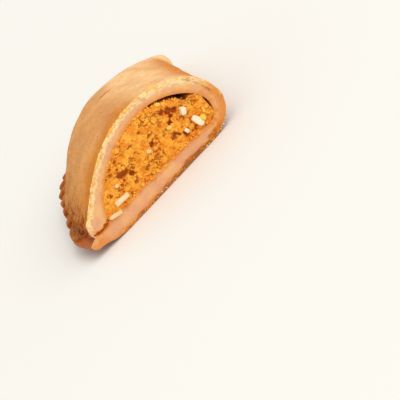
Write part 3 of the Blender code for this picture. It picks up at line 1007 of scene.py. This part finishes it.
    def cut_relief(self, s: Sheet) -> tuple[dict[str, Array], Array]:
        """The cut's masks, and its lift: a crumbly outer rind, smoother dough within, the seam and the crack.

        Returns:
            The masks rind, stain and seam by name, and the lift.
        """
        band = 1.0 - smooth_step(s.depth + 1.2 * s.ragged, *self.rind_width)
        crumble = layered_noise(s.points / 0.9, 51, 3)
        boundary = bump(s.depth + 1.1 * s.ragged, 2.6, 0.6) * s.on_roof * s.face
        lift = (s.face + s.edge) * s.on_roof * self.crumble_height * crumble * (0.3 + 0.7 * band)
        lift -= boundary * 0.35 * np.clip(0.4 + crumble, 0.0, 1.0)
        lift += s.face * 0.06 * layered_noise(s.points / 3.0, 61, 3)
        gap = self.near_line(s.section, self.seam_line) + 0.7 * s.ragged
        seam = s.face * (1.0 - smooth_step(gap, 0.25, 0.75))
        split = self.near_line(s.section, self.crack_line) + 0.9 * s.ragged
        crack = s.face * (1.0 - smooth_step(split, 0.08, 0.34))
        pitted = boundary * np.clip(crumble * 2.0, 0.0, 1.0)
        masks = {
            "rind": band * s.on_roof * (s.face + s.edge) * np.clip(0.95 + 0.9 * crumble, 0.0, 1.0),
            "stain": 0.8 * s.face * (1.0 - smooth_step(gap, 0.5, 1.7)),
            "seam": 0.8 * seam + 0.4 * crack + 0.5 * pitted,
        }
        return masks, lift - self.seam_depth * seam - self.crack_depth * crack

    def grooved(self, run: Array, climb: Array) -> Array:
        """Depth of the grooves between the pinched flaps of the rim, from 0 to 1.

        Grooves stand far apart near the cut and settle to an even pitch further round. Each leans: the
        further out on the ledge, the nearer to the cut. It is steep on its far side and slopes on the near
        one, cuts the whole ledge, and fades out up the dome at its own length.
        """
        number = np.arange(self.grooves)
        chances = [scrambled(level(number, 0.0), seed) for seed in (81, 82)]
        spare = self.groove_spread * (1.0 - np.exp(-number / 5.0))
        centres = self.groove_first + self.groove_pitch * number + spare + (chances[0] - 0.5) * 2.2
        reaches = self.groove_reach * (0.55 + 0.8 * chances[1])
        sweep = self.groove_lean * np.clip(climb, -12.0, 0.0) + 0.12 * np.maximum(climb, 0.0)
        place = run - sweep + 0.5 * soft_noise(level(run / 3.0, climb / 2.0), 83)
        closest = np.abs(place[..., None] - centres).argmin(axis=-1)
        gap, reach = place - centres[closest], reaches[closest]
        across = bump(gap, 0.0, np.where(gap > 0.0, self.groove_width, self.groove_slope))
        along = np.sqrt(np.clip(1.0 - np.maximum(climb, 0.0) / reach, 0.0, 1.0))
        return across * along * smooth_step(climb, -16.0, -12.5)

    @staticmethod
    def pool(run: Array, climb: Array) -> Array:
        """The glazed patch on the ledge beside the cut, 0 to 1: steps along the rim and across the ledge."""
        wavy = 0.9 * soft_noise(level(run / 1.8, climb / 1.8), 95)
        across = within(climb + wavy, (-16.5, -14.0), (-2.6, -0.8))
        return across * (1.0 - smooth_step(run + wavy + 0.35 * (climb + 6.0), 9.0, 13.5))

    @staticmethod
    def near_line(section: Array, corners: tuple[tuple[float, float], ...]) -> Array:
        """Distance from section points to a chain of straight lines."""
        nearest = np.full(section.shape[:-1], np.inf)
        for start, end in zip(corners[:-1], corners[1:]):
            a, b = np.array(start), np.array(end)
            share = np.clip(((section - a) @ (b - a)) / ((b - a) @ (b - a)), 0.0, 1.0)
            nearest = np.minimum(nearest, np.linalg.norm(section - a - share[..., None] * (b - a), axis=-1))
        return nearest

    def slit(self, points: Array) -> Array:
        """A short split on the dome's rim side: a thin, slightly wavy line, as a mask from 0 to 1; its dark
        colour is painted shade.
        """
        start, end = (np.array(place) for place in self.slit_ends)
        length = np.linalg.norm(end - start)
        axis, flat = (end - start) / length, points[..., :2] - start
        side = flat @ np.array([-axis[1], axis[0]]) + 0.3 * soft_noise(points / 1.2, 91)
        along = within(flat @ axis, (0.0, 6.0), (length - 0.8, length))
        return along * bump(side, 0.0, self.slit_width) * smooth_step(points[..., 2], 12.0, 14.0)

    def masks(self, s: Sheet, marks: dict[str, Array], cuts: dict[str, Array]) -> dict[str, Array]:
        """Masks from 0 to 1 that the dough's finish reads, one value for each vertex.

        Args:
            s: The plain surface.
            marks: The outside's marks.
            cuts: The cut's own masks.

        Returns:
            The masks by name.
        """
        masks = self.outside_masks(s, marks) | self.cut_masks(s, cuts)
        return {name: np.clip(values, 0.0, 1.0) for name, values in masks.items()}

    def outside_masks(self, s: Sheet, marks: dict[str, Array]) -> dict[str, Array]:
        """Where the outside is golden, browned, pale, glazed, scorched and painted with shade.

        It is golden down the fold and beside the cut; browned on the rim, on the torn lumps and underneath;
        darkened in the grooves, the pleats and the slit as painted shade; and pale on top, at the tip and
        along the crown of the cut, a painted highlight where the surface faces up and towards the fold.
        """
        x, z, up = s.points[..., 0], s.points[..., 2], s.normals[..., 2]
        blotch = layered_noise(s.points / 9.0, 101, 3)
        under = smooth_step(-up, 0.3, 0.8)
        tip = smooth_step(s.run / self.form.rim_run[-1] + 0.05 * blotch, 0.72, 0.98)
        rim_low = 1.0 - smooth_step(s.climb, -3.0, 1.5)

        fold_side = smooth_step(x, 20.0, 38.0) * smooth_step(-z, -26.0, -12.0)
        bake = np.clip(0.2 + 0.6 * blotch + 0.9 * fold_side, 0.0, 1.0)
        # Painted highlight: less golden where the surface faces up.
        bake = bake * (1.0 - 0.6 * smooth_step(up, 0.6, 0.95) * smooth_step(x, 2.0, 20.0))
        beside = bump(s.behind, 2.5, 5.5) * smooth_step(s.climb, 2.0, 10.0)
        beside = beside * (1.0 - smooth_step(x, -6.0, 16.0))
        bake = np.maximum(bake, beside * (0.75 + 0.5 * layered_noise(s.points / 5.0, 111, 3)))

        foot = 1.0 - smooth_step(s.climb, -1.0, 12.0)
        # Painted shade in the grooves; the rim, the foot and the underside are browned by baking.
        brown = np.clip(0.75 * marks["grooves"] + rim_low * (0.3 + 0.5 * blotch) + 0.32 * foot, 0.0, 1.0)
        brown = np.maximum(brown, 0.7 * under) * (1.0 - 0.7 * tip)

        # Painted highlight: pale where the surface faces up, more towards the fold, at the tip and along the
        # cut's crown.
        light = smooth_step(up, 0.5, 0.9) * (0.9 + 0.6 * blotch) * (0.4 + 0.6 * smooth_step(x, 0.0, 18.0))
        light = np.maximum(np.clip(light, 0.0, 1.0), tip * (1.0 - under))
        crown = 0.9 * bump(s.behind, 0.0, 5.0) * smooth_step(x, 0.0, 10.0) * smooth_step(z, 16.0, 24.0)
        light = np.maximum(light, crown)
        light = light * (1.0 - 0.7 * bump(s.behind, 1.0, 4.0) * (1.0 - smooth_step(x, -6.0, 14.0)))

        glaze = np.clip(marks["pool"] + 0.3 * rim_low * smooth_step(blotch, -0.1, 0.6), 0.0, 1.0)
        deep_pool = 0.7 * (1.0 - smooth_step(s.run, 2.0, 8.0)) * smooth_step(s.climb, -8.5, -4.0)
        return {
            "bake": s.outside * bake * (1.0 - tip), "light": s.outside * light, "glaze": s.outside * glaze,
            # Painted shade in the pleats, and browning on the torn lumps.
            "brown": s.outside * (brown + 0.6 * marks["pleats"] + 0.65 * marks["torn"]),
            # Painted shade in the slit, and scorch on the torn lumps and the deep pool.
            "scorch_and_slit_shade": s.outside * (marks["slit"] + 0.28 * marks["torn"] + deep_pool * marks["pool"]),
        }

    def cut_masks(self, s: Sheet, cuts: dict[str, Array]) -> dict[str, Array]:
        """Where the cut is crumbed, stained by the filling's fat, browned at the base, and painted dark with
        shade in the hollow.
        """
        across, up = s.section[..., 0], s.section[..., 1]
        cut = s.face + s.edge
        crumbs = smooth_step(layered_noise(s.points / 1.3, 121, 3), -0.1, 0.4)
        spilled = 0.9 * s.outside * (1.0 - smooth_step(s.behind + 0.6 * s.ragged, 0.5, 1.8))
        further = smooth_step(across, 12.0, 60.0)
        toast = s.on_base * cut * (1.0 - smooth_step(s.depth + 1.3 * s.ragged - 1.3 * further, 0.9, 2.1))
        base_stain = s.on_base * cut * (1.0 - smooth_step(s.depth + s.ragged, 1.2, 4.2))
        rim_corner = cut * bump(across, 2.0, 5.0) * (1.0 - smooth_step(up, 6.5, 9.0))
        fold_out = cut * smooth_step(across, 60.0, 71.0) * (1.0 - smooth_step(up, 14.0, 25.0))
        fold_out = fold_out * (1.0 - smooth_step(s.depth + 1.2 * s.ragged, 2.6, 5.2))
        near_mince = s.face * (1.0 - smooth_step(s.thick - s.depth + 0.8 * s.ragged, 0.3, 2.2))
        patchy = 0.75 + 0.9 * layered_noise(s.points / 2.4, 131, 3)
        stain = 0.8 * rim_corner * patchy + 0.65 * near_mince + 0.75 * fold_out + 0.75 * base_stain
        return {
            "crumb": (0.8 * s.edge + spilled) * s.on_roof * crumbs, "cut": cut + s.inside,
            "toast": toast * smooth_step(across, 9.0, 16.0),
            # Painted shade on the hollow's wall, fading in behind the cut.
            "wall": s.inside * smooth_step(s.behind, 0.8, 3.0),
            "rind": cuts["rind"], "seam": cuts["seam"], "stain": np.clip(stain, 0.0, 1.0) + cuts["stain"],
        }


# ---------------------------------------------------------------- the mince

@dataclass
class Mince:
    """The filling: a closed body behind a crumbly front.

    A hollow is its (distance from the rim, height) on the cut and its half size.
    """

    form: TurnoverForm
    clearance: float = 0.1
    margin: float = 0.012
    columns: int = 250
    rows: int = 96
    body_rows: int = 16
    body_end: float = 0.93
    back_rows: int = 4
    back_bulge: float = 0.6
    sag: float = 0.105
    sunk: float = 0.35
    swell_height: float = 1.3
    crumb_height: float = 0.5
    grain_height: float = 0.2
    flake_depth: float = 1.0
    pit_depth: float = 1.6
    hollows: tuple[tuple[float, float, float], ...] = (
        (57.1, 22.3, 1.1), (58.6, 20.6, 0.8), (56.4, 19.4, 0.9), (54.4, 24.0, 0.6), (55.0, 17.6, 0.8),
        (53.0, 12.8, 1.8), (57.0, 10.2, 1.1), (37.0, 11.7, 1.2), (27.2, 17.2, 1.5), (30.2, 14.6, 1.0),
        (24.5, 11.5, 0.8), (44.0, 17.5, 0.7),
    )

    def area(self, t: Array, a: Array, b: Array) -> Array:
        """Points across the filling's sections.

        Args:
            t: Stations.
            a: Shares of the width from the rim corner to the fold wall, with the shape of b.
            b: Shares of the height from the floor to the roof.

        Returns:
            Stations by the shape of a by two: at each share of the width, the height runs from the lower
            to the upper chain of the hollow's contour, held off it by the clearance and sagged by the fold.
        """
        rings = self.form.hollow_sections(t)
        wall = rings[..., 0].argmax(axis=1)
        found = []
        for ring, turn in zip(rings, wall):
            upper, lower = ring[: turn + 1], np.vstack([ring[turn:], ring[:1]])[::-1]
            left, right = ring[0, 0] + self.clearance, ring[turn, 0] - self.clearance
            x = left + (right - left) * (self.margin + (1.0 - 2.0 * self.margin) * a)
            high = np.interp(x, upper[:, 0], upper[:, 1]) - self.clearance
            low = np.interp(x, lower[:, 0], lower[:, 1]) + self.clearance
            share = (x - left) / (right - left)
            sag = self.sag * np.ptp(ring[:, 1]) * within(share, (0.64, 0.74), (0.9, 0.97))
            sag = sag * (1.0 + 0.7 * soft_noise(level(x / 2.6, 0.0), 261))
            high = np.maximum(high - sag, low + 0.4)
            found.append(pair(x, low + (high - low) * b))
        return np.stack(found)

    def front_height(self, place: Array) -> tuple[Array, Array]:
        """How far the front stands out of its plane at (distance, height) places, and how deep its pits are.

        Broad swells and crumbs of two sizes, made from cell distances, less flakes and pits. Pits open where
        a noise is high, along thin cracks in some regions, and round each hollow.
        """
        flat = level(place[..., 0], place[..., 1])
        swell = layered_noise(flat / 9.0, 201, 2)
        warp = 0.35 * drift(flat / 1.5, 202)
        near, _, value = cell_noise(flat / 2.3 + warp, 211)
        fine, _, fine_value = cell_noise(flat / 0.95 + warp, 221)
        crumbs = (1.0 - near**2) * (0.4 + 0.6 * value)
        grains = (1.0 - fine**2) * (0.4 + 0.6 * fine_value)
        flakes = np.abs(layered_noise(flat / 1.4, 226, 4, 0.6))
        hole = layered_noise(flat / 3.0, 231, 4, 0.65) + 0.12 * soft_noise(flat / 14.0, 236)
        region = smooth_step(layered_noise(flat / 6.0, 237, 2), -0.05, 0.35)
        cracks = 1.0 - smooth_step(np.abs(layered_noise(flat / 2.4, 238, 4, 0.6)), 0.02, 0.13)
        pits = np.maximum(0.7 * smooth_step(hole, 0.32, 0.55), 0.55 * cracks * region)
        for across, up, size in self.hollows:
            gap = np.linalg.norm(place - np.array([across, up]), axis=-1) / size
            pits = np.maximum(pits, 1.0 - smooth_step(gap + 2.6 * hole, 0.5, 1.3))
        height = self.swell_height * swell + self.crumb_height * crumbs + self.grain_height * grains
        return height - self.flake_depth * flakes - self.pit_depth * pits, pits

    def border(self) -> tuple[Array, Array]:
        """Row and column numbers of the front grid's border, once round from its first corner."""
        far, top = self.columns - 1, self.rows - 1
        a = np.concatenate([np.arange(far), np.full(top, far), np.arange(far, 0, -1), np.zeros(top, int)])
        b = np.concatenate([np.zeros(far, int), np.arange(top), np.full(far, top), np.arange(top, 0, -1)])
        return a, b

    def build(self, material: bpy.types.Material) -> bpy.types.Object:
        """Build the filling's mesh: a front grid, and a skin that runs back from its border."""
        form, zero = self.form, np.array([0.0])
        sides = (np.linspace(0.0, 1.0, count) for count in (self.columns, self.rows))
        a, b = np.meshgrid(*sides, indexing="ij")
        place = self.area(zero, a, b)[0]
        height, pits = self.front_height(place)
        edge = np.minimum(np.minimum(a, 1.0 - a) * 60.0, np.minimum(b, 1.0 - b) * 20.0)
        rounding = np.exp(-edge / 0.8)
        front = form.placed(place.reshape(1, -1, 2), zero)[0].reshape(self.columns, self.rows, 3)
        front[..., 1] += self.sunk - height * (1.0 - 0.8 * rounding) + 0.1 * rounding
        border = self.border()
        t = form.hollow_end * self.body_end * np.sin(np.linspace(0.045, math.pi / 2.0, self.body_rows))
        body = form.placed(self.area(t, a[border], b[border]), t)
        back = dome(body[-1], self.back_bulge * form.ahead(float(t[-1])), self.back_rows)
        body = np.concatenate([body, back])
        body[..., 1] += 0.15 * layered_noise(body / 2.0, 241, 2)

        skin = Skin()
        tone = soft_noise(level(place[..., 0], place[..., 1]) / 2.0, 251) * 0.35 + 0.5
        # The pits' depth is painted as shade, at 0.85.
        start = skin.add(front, {"tone": tone, "pit_shade": 0.85 * pits})
        numbers = start + np.arange(self.columns * self.rows).reshape(self.columns, self.rows)
        quads = np.stack([numbers[:-1, :-1], numbers[1:, :-1], numbers[1:, 1:], numbers[:-1, 1:]], -1)
        skin.faces.append(quads.reshape(-1, 4))
        # The body's hidden skin gets a little painted shade.
        plain = {"tone": np.array(0.4), "pit_shade": np.array(0.3)}
        rest = skin.add(body, plain) + np.arange(body[..., 0].size).reshape(body.shape[:2])
        rings = np.vstack([numbers[border], rest])
        beside = np.roll(rings, -1, axis=1)
        skin.faces.append(np.stack([rings[:-1], rings[1:], beside[1:], beside[:-1]], -1).reshape(-1, 4))
        tip = skin.add(body[-1].mean(axis=0)[None], plain)
        skin.faces.append(np.stack([rings[-1], np.full(rings.shape[1], tip), beside[-1]], -1))
        return skin.make("mince_body", material)


# ---------------------------------------------------------------- scattered pieces

def ball(level: int = 1) -> tuple[Array, Array]:
    """A round ball's vertices and triangles: an icosahedron split by level and pushed onto the sphere."""
    work = bmesh.new()
    bmesh.ops.create_icosphere(work, subdivisions=level, radius=1.0)
    work.verts.ensure_lookup_table()
    points = np.array([vert.co[:] for vert in work.verts])
    faces = np.array([[vert.index for vert in face.verts] for face in work.faces])
    work.free()
    return points, faces


def turns(count: int, chance: np.random.Generator) -> Array:
    """Random rotations, from random unit quaternions."""
    q = chance.normal(size=(count, 4))
    w, x, y, z = (q / np.linalg.norm(q, axis=1, keepdims=True)).T
    return np.stack([
        np.stack([1 - 2 * (y * y + z * z), 2 * (x * y - z * w), 2 * (x * z + y * w)], -1),
        np.stack([2 * (x * y + z * w), 1 - 2 * (x * x + z * z), 2 * (y * z - x * w)], -1),
        np.stack([2 * (x * z - y * w), 2 * (y * z + x * w), 1 - 2 * (x * x + y * y)], -1),
    ], axis=1)


def lumps(centres: Array, size: Array, chance: np.random.Generator) -> tuple[Array, Array]:
    """Lumpy balls: each is squashed, turned at random and made uneven by a soft noise of its own.

    Args:
        centres: Their middles.
        size: Their mean half sizes.
        chance: The random source.

    Returns:
        Their vertices, balls by points by three, and their triangles as vertex numbers from 0.
    """
    points, faces = ball(1)
    count = len(centres)
    stretch = chance.uniform(0.45, 1.35, (count, 1, 3)) * size[:, None, None]
    uneven = 1.0 + 0.5 * soft_noise(points[None] * 1.4 + 10.0 * np.arange(count)[:, None, None], 301)
    shapes = np.einsum("nij,nkj->nki", turns(count, chance), points[None] * uneven[..., None] * stretch)
    offsets = np.arange(count)[:, None, None] * len(points)
    return shapes + centres[:, None], (faces[None] + offsets).reshape(-1, 3)


@dataclass
class Crumbs:
    """Loose crumbs of mince: half sunk over the front, and spilled along its border."""

    mince: Mince
    count: int = 560
    spilled: int = 220
    smallest: float = 0.34
    largest: float = 1.0
    border_spread: float = 0.4
    seed: int = 5

    def build(self, material: bpy.types.Material) -> bpy.types.Object:
        """Scatter the crumbs, thickest where the front is high, and write them as one piece."""
        chance, zero = np.random.default_rng(self.seed), np.array([0.0])
        a, b = chance.uniform(0.01, 0.99, self.count * 3), chance.uniform(0.0, 1.0, self.count * 3)
        place = self.mince.area(zero, a, b)[0]
        height, pits = self.mince.front_height(place)
        roof, floor = (self.mince.area(zero, a, np.full_like(a, side))[0, :, 1] for side in (1.0, 0.0))
        span = roof - floor
        keep = (pits < 0.3) & (chance.uniform(size=len(a)) < span / span.max())
        place, height = place[keep][: self.count], height[keep][: self.count]
        a, roof = chance.uniform(0.02, 0.98, self.spilled), chance.uniform(size=self.spilled) < 0.35
        border = self.mince.area(zero, a, roof.astype(float))[0]
        border += chance.normal(0.0, self.border_spread, border.shape)
        place, height = np.concatenate([place, border]), np.concatenate([height, np.full(self.spilled, 0.35)])
        size = self.smallest + (self.largest - self.smallest) * chance.uniform(size=len(place)) ** 3
        centres = self.mince.form.placed(place[None], zero)[0]
        centres[:, 1] += self.mince.sunk - height + 0.4 * size
        skin = Skin()
        shapes, faces = lumps(centres, size, chance)
        tone = np.repeat(chance.uniform(size=len(place)), shapes.shape[1]).reshape(shapes.shape[:2])
        skin.add(shapes, {"tone": tone, "pit_shade": 0.0 * tone})
        skin.faces.append(faces)
        return skin.make("mince_crumbs", material)


@dataclass
class DoughCrumbs:
    """Small crumbs of baked dough that cling to the cut's outer edge, and one cluster on the dome."""

    form: TurnoverForm
    count: int = 260
    deepest: float = 1.1
    smallest: float = 0.16
    largest: float = 0.5
    cluster: tuple[float, float, float] = (-17.2, -3.2, 25.3)
    cluster_count: int = 16
    cluster_spread: float = 0.6
    seed: int = 9

    def build(self, material: bpy.types.Material) -> bpy.types.Object:
        """Scatter the crumbs in patches round the edge, from the rim over the crown to the fold's foot."""
        chance, zero = np.random.default_rng(self.seed), np.array([0.0])
        rings, lip = self.form.outer_sections(zero)
        ring = rings[0]
        inward = ring.mean(axis=0) - ring
        inward /= np.linalg.norm(inward, axis=1)[:, None]
        column = chance.integers(lip, len(ring), self.count * 4)
        patch = soft_noise(level(ring[column, 0], ring[column, 1]) / 3.0, 311)
        column = column[patch > -0.05][: self.count]
        deep = self.deepest * chance.uniform(size=len(column)) ** 2
        place = ring[column] + inward[column] * deep[:, None]
        centres = self.form.placed(place[None], zero)[0]
        centres[:, 1] += chance.uniform(-0.15, 0.9, len(column)) * np.exp(-3.0 * deep)
        stuck = np.array(self.cluster) + chance.normal(0.0, self.cluster_spread, (self.cluster_count, 3))
        centres = np.concatenate([centres, stuck])
        centres[:, 2] = np.maximum(centres[:, 2], self.largest)
        size = self.smallest + (self.largest - self.smallest) * chance.uniform(size=len(centres)) ** 2
        skin = Skin()
        shapes, faces = lumps(centres, size, chance)
        tone = np.repeat(chance.uniform(0.2, 1.0, len(centres)), shapes.shape[1]).reshape(shapes.shape[:2])
        skin.add(shapes, {"crumb": tone, "cut": np.ones_like(tone), "rind": np.ones_like(tone)})
        skin.faces.append(faces)
        return skin.make("dough_crumbs", material)


@dataclass(frozen=True)
class EggBit:
    """One bit of egg: its place on the cut, how far it stands out, its sizes, turn, squareness and tint."""

    across: float
    up: float
    out: float
    sizes: tuple[float, float, float]
    turn: float
    tilt: float = 0.0
    square: float = 0.28
    fat: float = 0.0


def signed_power(value: Array, power: float) -> Array:
    """Raise the size of a value to a power and keep its sign."""
    return np.sign(value) * np.abs(value) ** power


@dataclass
class EggBits:
    """Bits of egg of one kind, written as one piece.

    Each is a superellipsoid, its sines and cosines raised to its squareness, so that it looks like a
    knife-cut block with soft edges, or a ball; a low noise makes it uneven.
    """

    form: TurnoverForm
    name: str
    bits: tuple[EggBit, ...]
    seed: int
    rows: int = 22
    columns: int = 40
    uneven: float = 0.1

    def build(self, material: bpy.types.Material) -> bpy.types.Object:
        """Shape, turn and place each bit, and write them as one piece."""
        rise = np.linspace(-0.49 * math.pi, 0.49 * math.pi, self.rows)[:, None]
        turn = np.linspace(0.0, 2.0 * math.pi, self.columns, endpoint=False)[None]
        skin = Skin()
        for number, bit in enumerate(self.bits):
            reach = signed_power(np.cos(rise), bit.square)
            sides = (reach * signed_power(wave(turn), bit.square) for wave in (np.cos, np.sin))
            shape = np.stack(np.broadcast_arrays(*sides, signed_power(np.sin(rise), bit.square)), axis=-1)
            shape = shape * np.array(bit.sizes) / 2.0
            noise = layered_noise(shape / 1.6 + 9.0 * number, self.seed, 2)
            shape = shape * (1.0 + self.uneven * noise[..., None])
            angles = ((bit.turn, "Y"), (bit.tilt, "X"))
            turned, tilted = (Matrix.Rotation(math.radians(angle), 3, axis) for angle, axis in angles)
            spin = turned @ tilted
            centre = self.form.placed(np.array([[[bit.across, bit.up]]]), np.array([0.0]))[0, 0]
            centre[1] -= bit.out
            skin.grid(shape @ np.array(spin).T + centre, {"tone": np.full(shape.shape[:2], bit.fat)})
        return skin.make(self.name, material)


EGG_WHITE = (
    EggBit(61.1, 18.4, 0.9, (2.2, 2.2, 2.8), 28.0, 10.0),
    EggBit(63.2, 10.9, 0.5, (2.7, 2.0, 5.4), -17.0, -8.0, 0.55),
    EggBit(20.6, 11.3, 0.8, (6.6, 1.6, 1.6), 4.0, 8.0, 0.22, 0.45),
    EggBit(40.9, 16.7, 0.2, (1.8, 1.6, 1.3), 35.0, 0.0, 0.5, 0.5),
    EggBit(22.6, 16.4, 0.1, (1.7, 1.4, 1.4), 10.0, 0.0, 0.6, 0.6),
    EggBit(57.5, 11.1, 0.1, (1.5, 1.4, 1.9), -20.0, 0.0, 0.5),
    EggBit(14.9, 8.6, 0.6, (5.8, 1.2, 1.4), 13.6, 0.0, 0.35, 0.6),
)
EGG_YOLK = (
    EggBit(65.4, 10.4, 1.0, (2.6, 2.6, 2.6), 0.0, 0.0, 1.0),
    EggBit(55.1, 27.6, 0.2, (2.4, 1.6, 1.5), 30.0, 0.0, 0.7),
    EggBit(67.6, 12.2, 0.3, (1.0, 1.2, 2.4), 20.0, 0.0, 0.7),
    EggBit(52.9, 17.3, 0.1, (2.4, 1.2, 1.6), 30.0, 0.0, 0.7),
)


# ---------------------------------------------------------------- camera, floor and light

@dataclass
class Studio:
    """A plain pale floor, soft light and a long-lens camera, rolled so that the half leans as it was laid."""

    form: TurnoverForm
    azimuth: float = -14.08
    elevation: float = 24.8
    roll: float = 40.65
    distance: float = 6.0
    field_width: float = 0.1512
    target: tuple[float, float, float] = (40.36, -13.40, -6.60)
    floor_size: float = 12.0
    floor_tone: Colour = srgb(234, 233, 228)
    key_place: tuple[float, float, float] = (1.3, -1.75, 3.1)
    key_size: float = 3.8
    key_watts: float = 86.0
    warm_white: Colour = (1.0, 0.985, 0.96, 1.0)
    surround: float = 0.8

    def camera(self) -> bpy.types.Object:
        """Make the camera: it looks at the target from azimuth and elevation, then rolls about its axis."""
        a, e = math.radians(self.azimuth), math.radians(self.elevation)
        back = Vector((math.sin(a) * math.cos(e), -math.cos(a) * math.cos(e), math.sin(e)))
        aim = Vector(np.subtract(self.target, (*self.form.middle, 0.0)) * MM)
        data = bpy.data.cameras.new("camera")
        data.type = "PERSP"
        data.sensor_width = 36.0
        data.lens = data.sensor_width * self.distance / self.field_width
        data.clip_start, data.clip_end = 0.5, 40.0
        camera = bpy.data.objects.new("camera", data)
        camera.matrix_world = (
            Matrix.Translation(aim + back * self.distance)
            @ back.to_track_quat("Z", "Y").to_matrix().to_4x4()
            @ Matrix.Rotation(math.radians(-self.roll), 4, "Z")
        )
        bpy.context.scene.collection.objects.link(camera)
        bpy.context.scene.camera = camera
        return camera

    def floor(self) -> bpy.types.Object:
        """Make the floor: one large plain sheet at height 0."""
        material, _, shader = start_material("plain floor")
        shader.inputs["Base Color"].default_value = self.floor_tone
        shader.inputs["Roughness"].default_value = 0.9
        shader.inputs["Specular IOR Level"].default_value = 0.0
        half = self.floor_size / 2.0
        corners = [(-half, -half, 0), (half, -half, 0), (half, half, 0), (-half, half, 0)]
        mesh = bpy.data.meshes.new("floor")
        mesh.from_pydata(corners, [], [(0, 1, 2, 3)])
        mesh.materials.append(material)
        floor = bpy.data.objects.new("floor", mesh)
        bpy.context.scene.collection.objects.link(floor)
        return floor

    def light(self) -> None:
        """Add the key, a square soft light that faces the object, and a pale surround for the shade."""
        data = bpy.data.lights.new("key", "AREA")
        data.size, data.energy, data.color = self.key_size, self.key_watts, self.warm_white[:3]
        lamp = bpy.data.objects.new("key", data)
        lamp.location = self.key_place
        lamp.rotation_euler = Vector(self.key_place).to_track_quat("Z", "Y").to_euler()
        bpy.context.scene.collection.objects.link(lamp)
        world = bpy.data.worlds.new("surround")
        world.use_nodes = True
        background = world.node_tree.nodes["Background"].inputs
        background["Color"].default_value = self.warm_white
        background["Strength"].default_value = self.surround
        bpy.context.scene.world = world
        bpy.context.scene.view_settings.view_transform = "Standard"


# ---------------------------------------------------------------- putting it together

class Slot(Enum):
    """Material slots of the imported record."""

    DOUGH = "baked_dough"
    MINCE = "minced_filling"
    EGG = "egg"


def seat(piece: bpy.types.Object, slot: Slot, *replaced: str) -> None:
    """Ride a piece on the root body and hide the CAD nodes that it stands for; the slot is only logged."""
    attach(piece, "root")
    if replaced:
        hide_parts(*replaced)
    LOG.info("%s rides on root with slot %s", piece.name, slot.value)


def main() -> None:
    """Build the studio and each piece in turn."""
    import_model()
    form = TurnoverForm()
    studio = Studio(form)
    studio.camera()
    studio.floor()
    studio.light()
    effects = SharedEffects()
    dough, spiced = DoughFinish().material(effects), MinceFinish().material(effects)
    white = EggFinish("egg white", srgb(255, 232, 202), srgb(250, 196, 124)).material(effects)
    yolk = EggFinish("egg yolk", srgb(250, 200, 74), srgb(244, 170, 60)).material(effects)

    seat(Crust(form).build(dough), Slot.DOUGH, "crust")
    seat(DoughCrumbs(form).build(dough), Slot.DOUGH)
    mince = Mince(form)
    seat(mince.build(spiced), Slot.MINCE, "filling")
    seat(Crumbs(mince).build(spiced), Slot.MINCE)
    seat(EggBits(form, "egg_white_dice", EGG_WHITE, 401).build(white), Slot.EGG)
    seat(EggBits(form, "egg_yolk_bits", EGG_YOLK, 411).build(yolk), Slot.EGG)

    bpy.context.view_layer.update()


if __name__ == "__main__":
    logging.basicConfig(level=logging.INFO, format="%(message)s")
    main()
